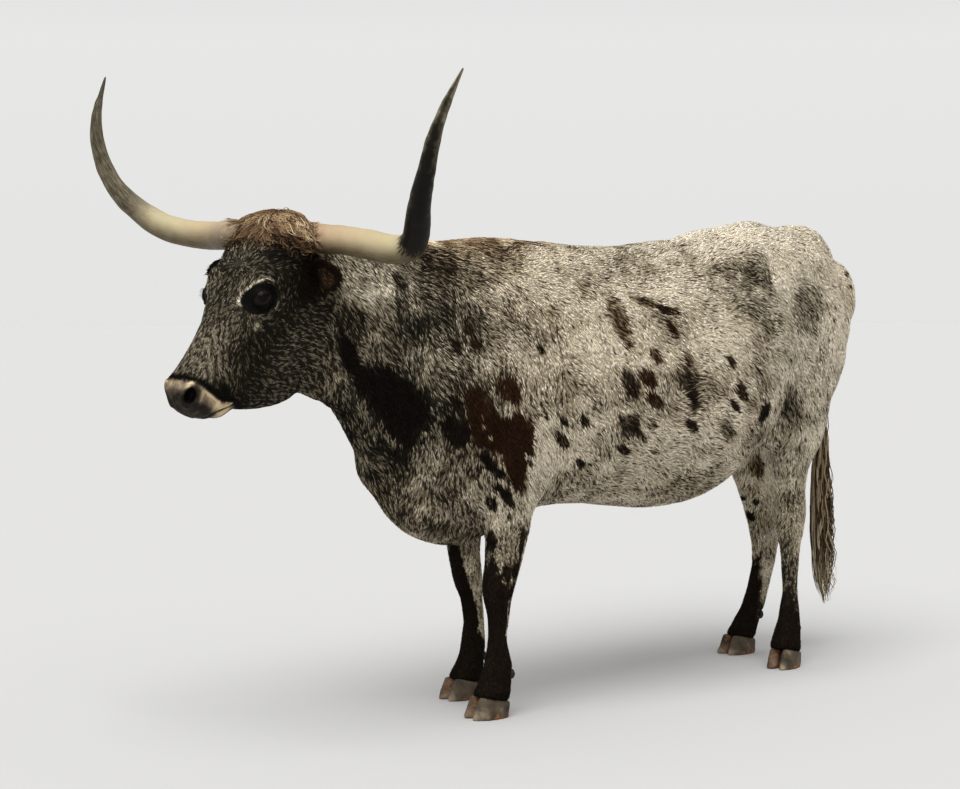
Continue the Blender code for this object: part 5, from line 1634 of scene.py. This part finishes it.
def make_switch(material):
    """The tail switch: wavy locks round a dark core, tan at the edges and blond at the end."""
    rng = np.random.default_rng(95)
    low, high = (np.array(corner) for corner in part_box("tail_switch"))
    both = np.vstack([points_of(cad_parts[name].data) for name in ("tail_switch", "tail")])
    rows = slices(both, np.linspace(low[2] + 0.01, high[2] + 0.12, 20), 0.03)
    count, steps = 420, 14
    top = high[2] + 0.075 - (high[2] - low[2]) * rng.beta(1.0, 2.2, count) * 0.70
    bottom = low[2] + (high[2] - low[2]) * rng.beta(1.0, 1.7, count) * 0.75
    bottom = np.minimum(bottom, top - 0.10)
    turn = rng.uniform(0, 2 * math.pi, count)
    depth = np.sqrt(rng.uniform(0.10, 1.0, count)) * 0.86
    phase, pace = rng.uniform(0, 2 * math.pi, count), rng.uniform(16, 30, count)
    path = np.empty((count, steps, 3))
    for row, s in enumerate(np.linspace(0, 1, steps)):
        z = top + (bottom - top) * s
        x = np.interp(z, rows[:, 0], rows[:, 1])
        y = np.interp(z, rows[:, 0], rows[:, 2])
        radius = np.interp(z, rows[:, 0], rows[:, 3]) * depth * min(1.0, 0.35 + 2.2 * s)
        wave = 0.0085 * np.sin(z * pace * 2 + phase) * s
        path[:, row] = np.stack([x + np.cos(turn) * radius + wave * np.sin(turn) + wave * 0.6,
                                 y + np.sin(turn) * radius + wave * np.cos(turn) + wave * 0.6, z], 1)
    up = np.stack([np.cos(turn), np.sin(turn), np.zeros(count)], 1)
    s = np.linspace(0, 1, steps)[None]
    light = rng.random((count, 1)) < 0.25 + 0.45 * depth[:, None] ** 3
    pale = np.where(light, 0.50, 0.16) + 0.10 * s + rng.normal(0, 0.07, (count, 1))
    pale = pale + 0.22 * step(low[2] + 0.22, low[2] + 0.06, path[:, :, 2])
    pale = pale + 0.30 * step(high[2] - 0.10, high[2] + 0.02, path[:, :, 2])
    warm = np.full((count, steps), 0.45) + rng.normal(0, 0.15, (count, 1))
    chart = np.stack([0.002 + 0.996 * ranked(turn), 0.002 + 0.996 * ranked(top)], 1)
    wide = rng.uniform(0.005, 0.0095, count)
    return make_locks("switch", path, up, wide, pale, warm, material, "switch_hair", chart, "tail_switch")


# ---------------------------------------------------------------- stage

FLOOR_HALF = 60          # half the width of the floor
FLOOR_COLOUR = (0.49, 0.485, 0.475, 1)
KEY_FROM = (0.30, -0.42, 0.86)
KEY_STRENGTH = 3.2
KEY_ANGLE = 50           # degrees across, so that the shadows are soft
SKY = ((0.0, (0.60, 0.60, 0.60)), (0.56, (0.80, 0.80, 0.795)), (0.66, (0.50, 0.51, 0.52)),
       (0.80, (0.55, 0.56, 0.57)), (1.0, (1.0, 1.0, 1.0)))      # from straight below to straight above


def sky(tree):
    """Soft studio light from all round, strongest from above, over a pale horizon."""
    place = tree.nodes.new("ShaderNodeTexCoord")
    split = tree.nodes.new("ShaderNodeSeparateXYZ")
    tree.links.new(place.outputs["Generated"], split.inputs[0])
    height = maths(tree, "MULTIPLY_ADD", split.outputs["Z"], 0.5, 0.5)
    tree.links.new(ramp_node(tree, height, SKY), tree.nodes["Background"].inputs["Color"])


def stage():
    """Pale floor, soft light from above, and the camera at the photo's place."""
    mesh = bpy.data.meshes.new("floor")
    corners = [(x * FLOOR_HALF, y * FLOOR_HALF, 0) for x, y in ((-1, -1), (1, -1), (1, 1), (-1, 1))]
    mesh.from_pydata(corners, [], [(0, 1, 2, 3)])
    floor = new_object("floor", mesh)
    floor.data.materials.append(new_material("pale_floor", 0.95, Base_Color=FLOOR_COLOUR)[0])
    world = bpy.data.worlds.new("studio")
    bpy.context.scene.world = world
    world.use_nodes = True
    sky(world.node_tree)
    light = bpy.data.lights.new("key", "SUN")
    light.energy = KEY_STRENGTH
    light.angle = math.radians(KEY_ANGLE)
    lamp = bpy.data.objects.new("key", light)
    bpy.context.scene.collection.objects.link(lamp)
    lamp.rotation_euler = (-Vector(KEY_FROM)).to_track_quat("-Z", "Y").to_euler()
    camera = bpy.data.objects.new("camera", bpy.data.cameras.new("camera"))
    bpy.context.scene.collection.objects.link(camera)
    camera.data.sensor_width = SENSOR
    camera.data.lens = CAMERA_LENS
    camera.location = CAMERA_AT
    camera.rotation_euler = CAMERA_AHEAD.to_track_quat("-Z", "Y").to_euler()
    bpy.context.scene.camera = camera
    bpy.context.scene.view_settings.view_transform = "Standard"


# ---------------------------------------------------------------- the whole animal

def colour_skin(skin):
    """Writes the markings and the bare parts on the skin, for its material."""
    points, normals = points_of(skin.data), normals_of(skin.data)
    pale, warm = pattern(points, normals)
    bare, tone, hole = bare_tone(points)
    ring = eye_ring(points)[0]
    lids = step(1.0, 0.85, ring)
    # The skin between the tufts takes the coat's pale times 0.85: painted shade beneath the hair.
    set_values(skin.data, pale=pale * 0.85, warm=warm, bare=bare, tone=tone, hole=hole,
               wet=np.clip(bare * 0.6 + lids * 0.7, 0, 1))


def surface_of(*pieces):
    """The joined surface of the pieces, to look up nearest points."""
    points, faces = [], []
    for piece in pieces:
        first = len(points)
        points += [tuple(p) for p in points_of(piece.data).tolist()]
        faces += [tuple(first + i for i in p.vertices) for p in piece.data.polygons]
    return BVHTree.FromPolygons(points, faces)


skin = make_skin()
surface = surface_of(skin)
placed_marks = side_marks(surface)
placed_notches = [(seen_at(surface, column, row), reach) for column, row, reach in NOTCHES]
colour_skin(skin)
finish_piece(skin, skin_material(), "roan_hide", *FLESH)
hair = hair_material()
make_coat(skin, surface, hair)
horns = [make_horn(name) for name, _ in SIDES]
make_long_hair(skin, surface, surface_of(skin, *horns), hair)
make_switch(hair)
eye_look = eye_material()
for name, side in SIDES:
    make_eye(name, side, eye_look)
claw_look = claw_material()
for node in sorted(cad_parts):
    if node.startswith(("claw", "dewclaw")):
        make_claw(node, claw_look)
stage()
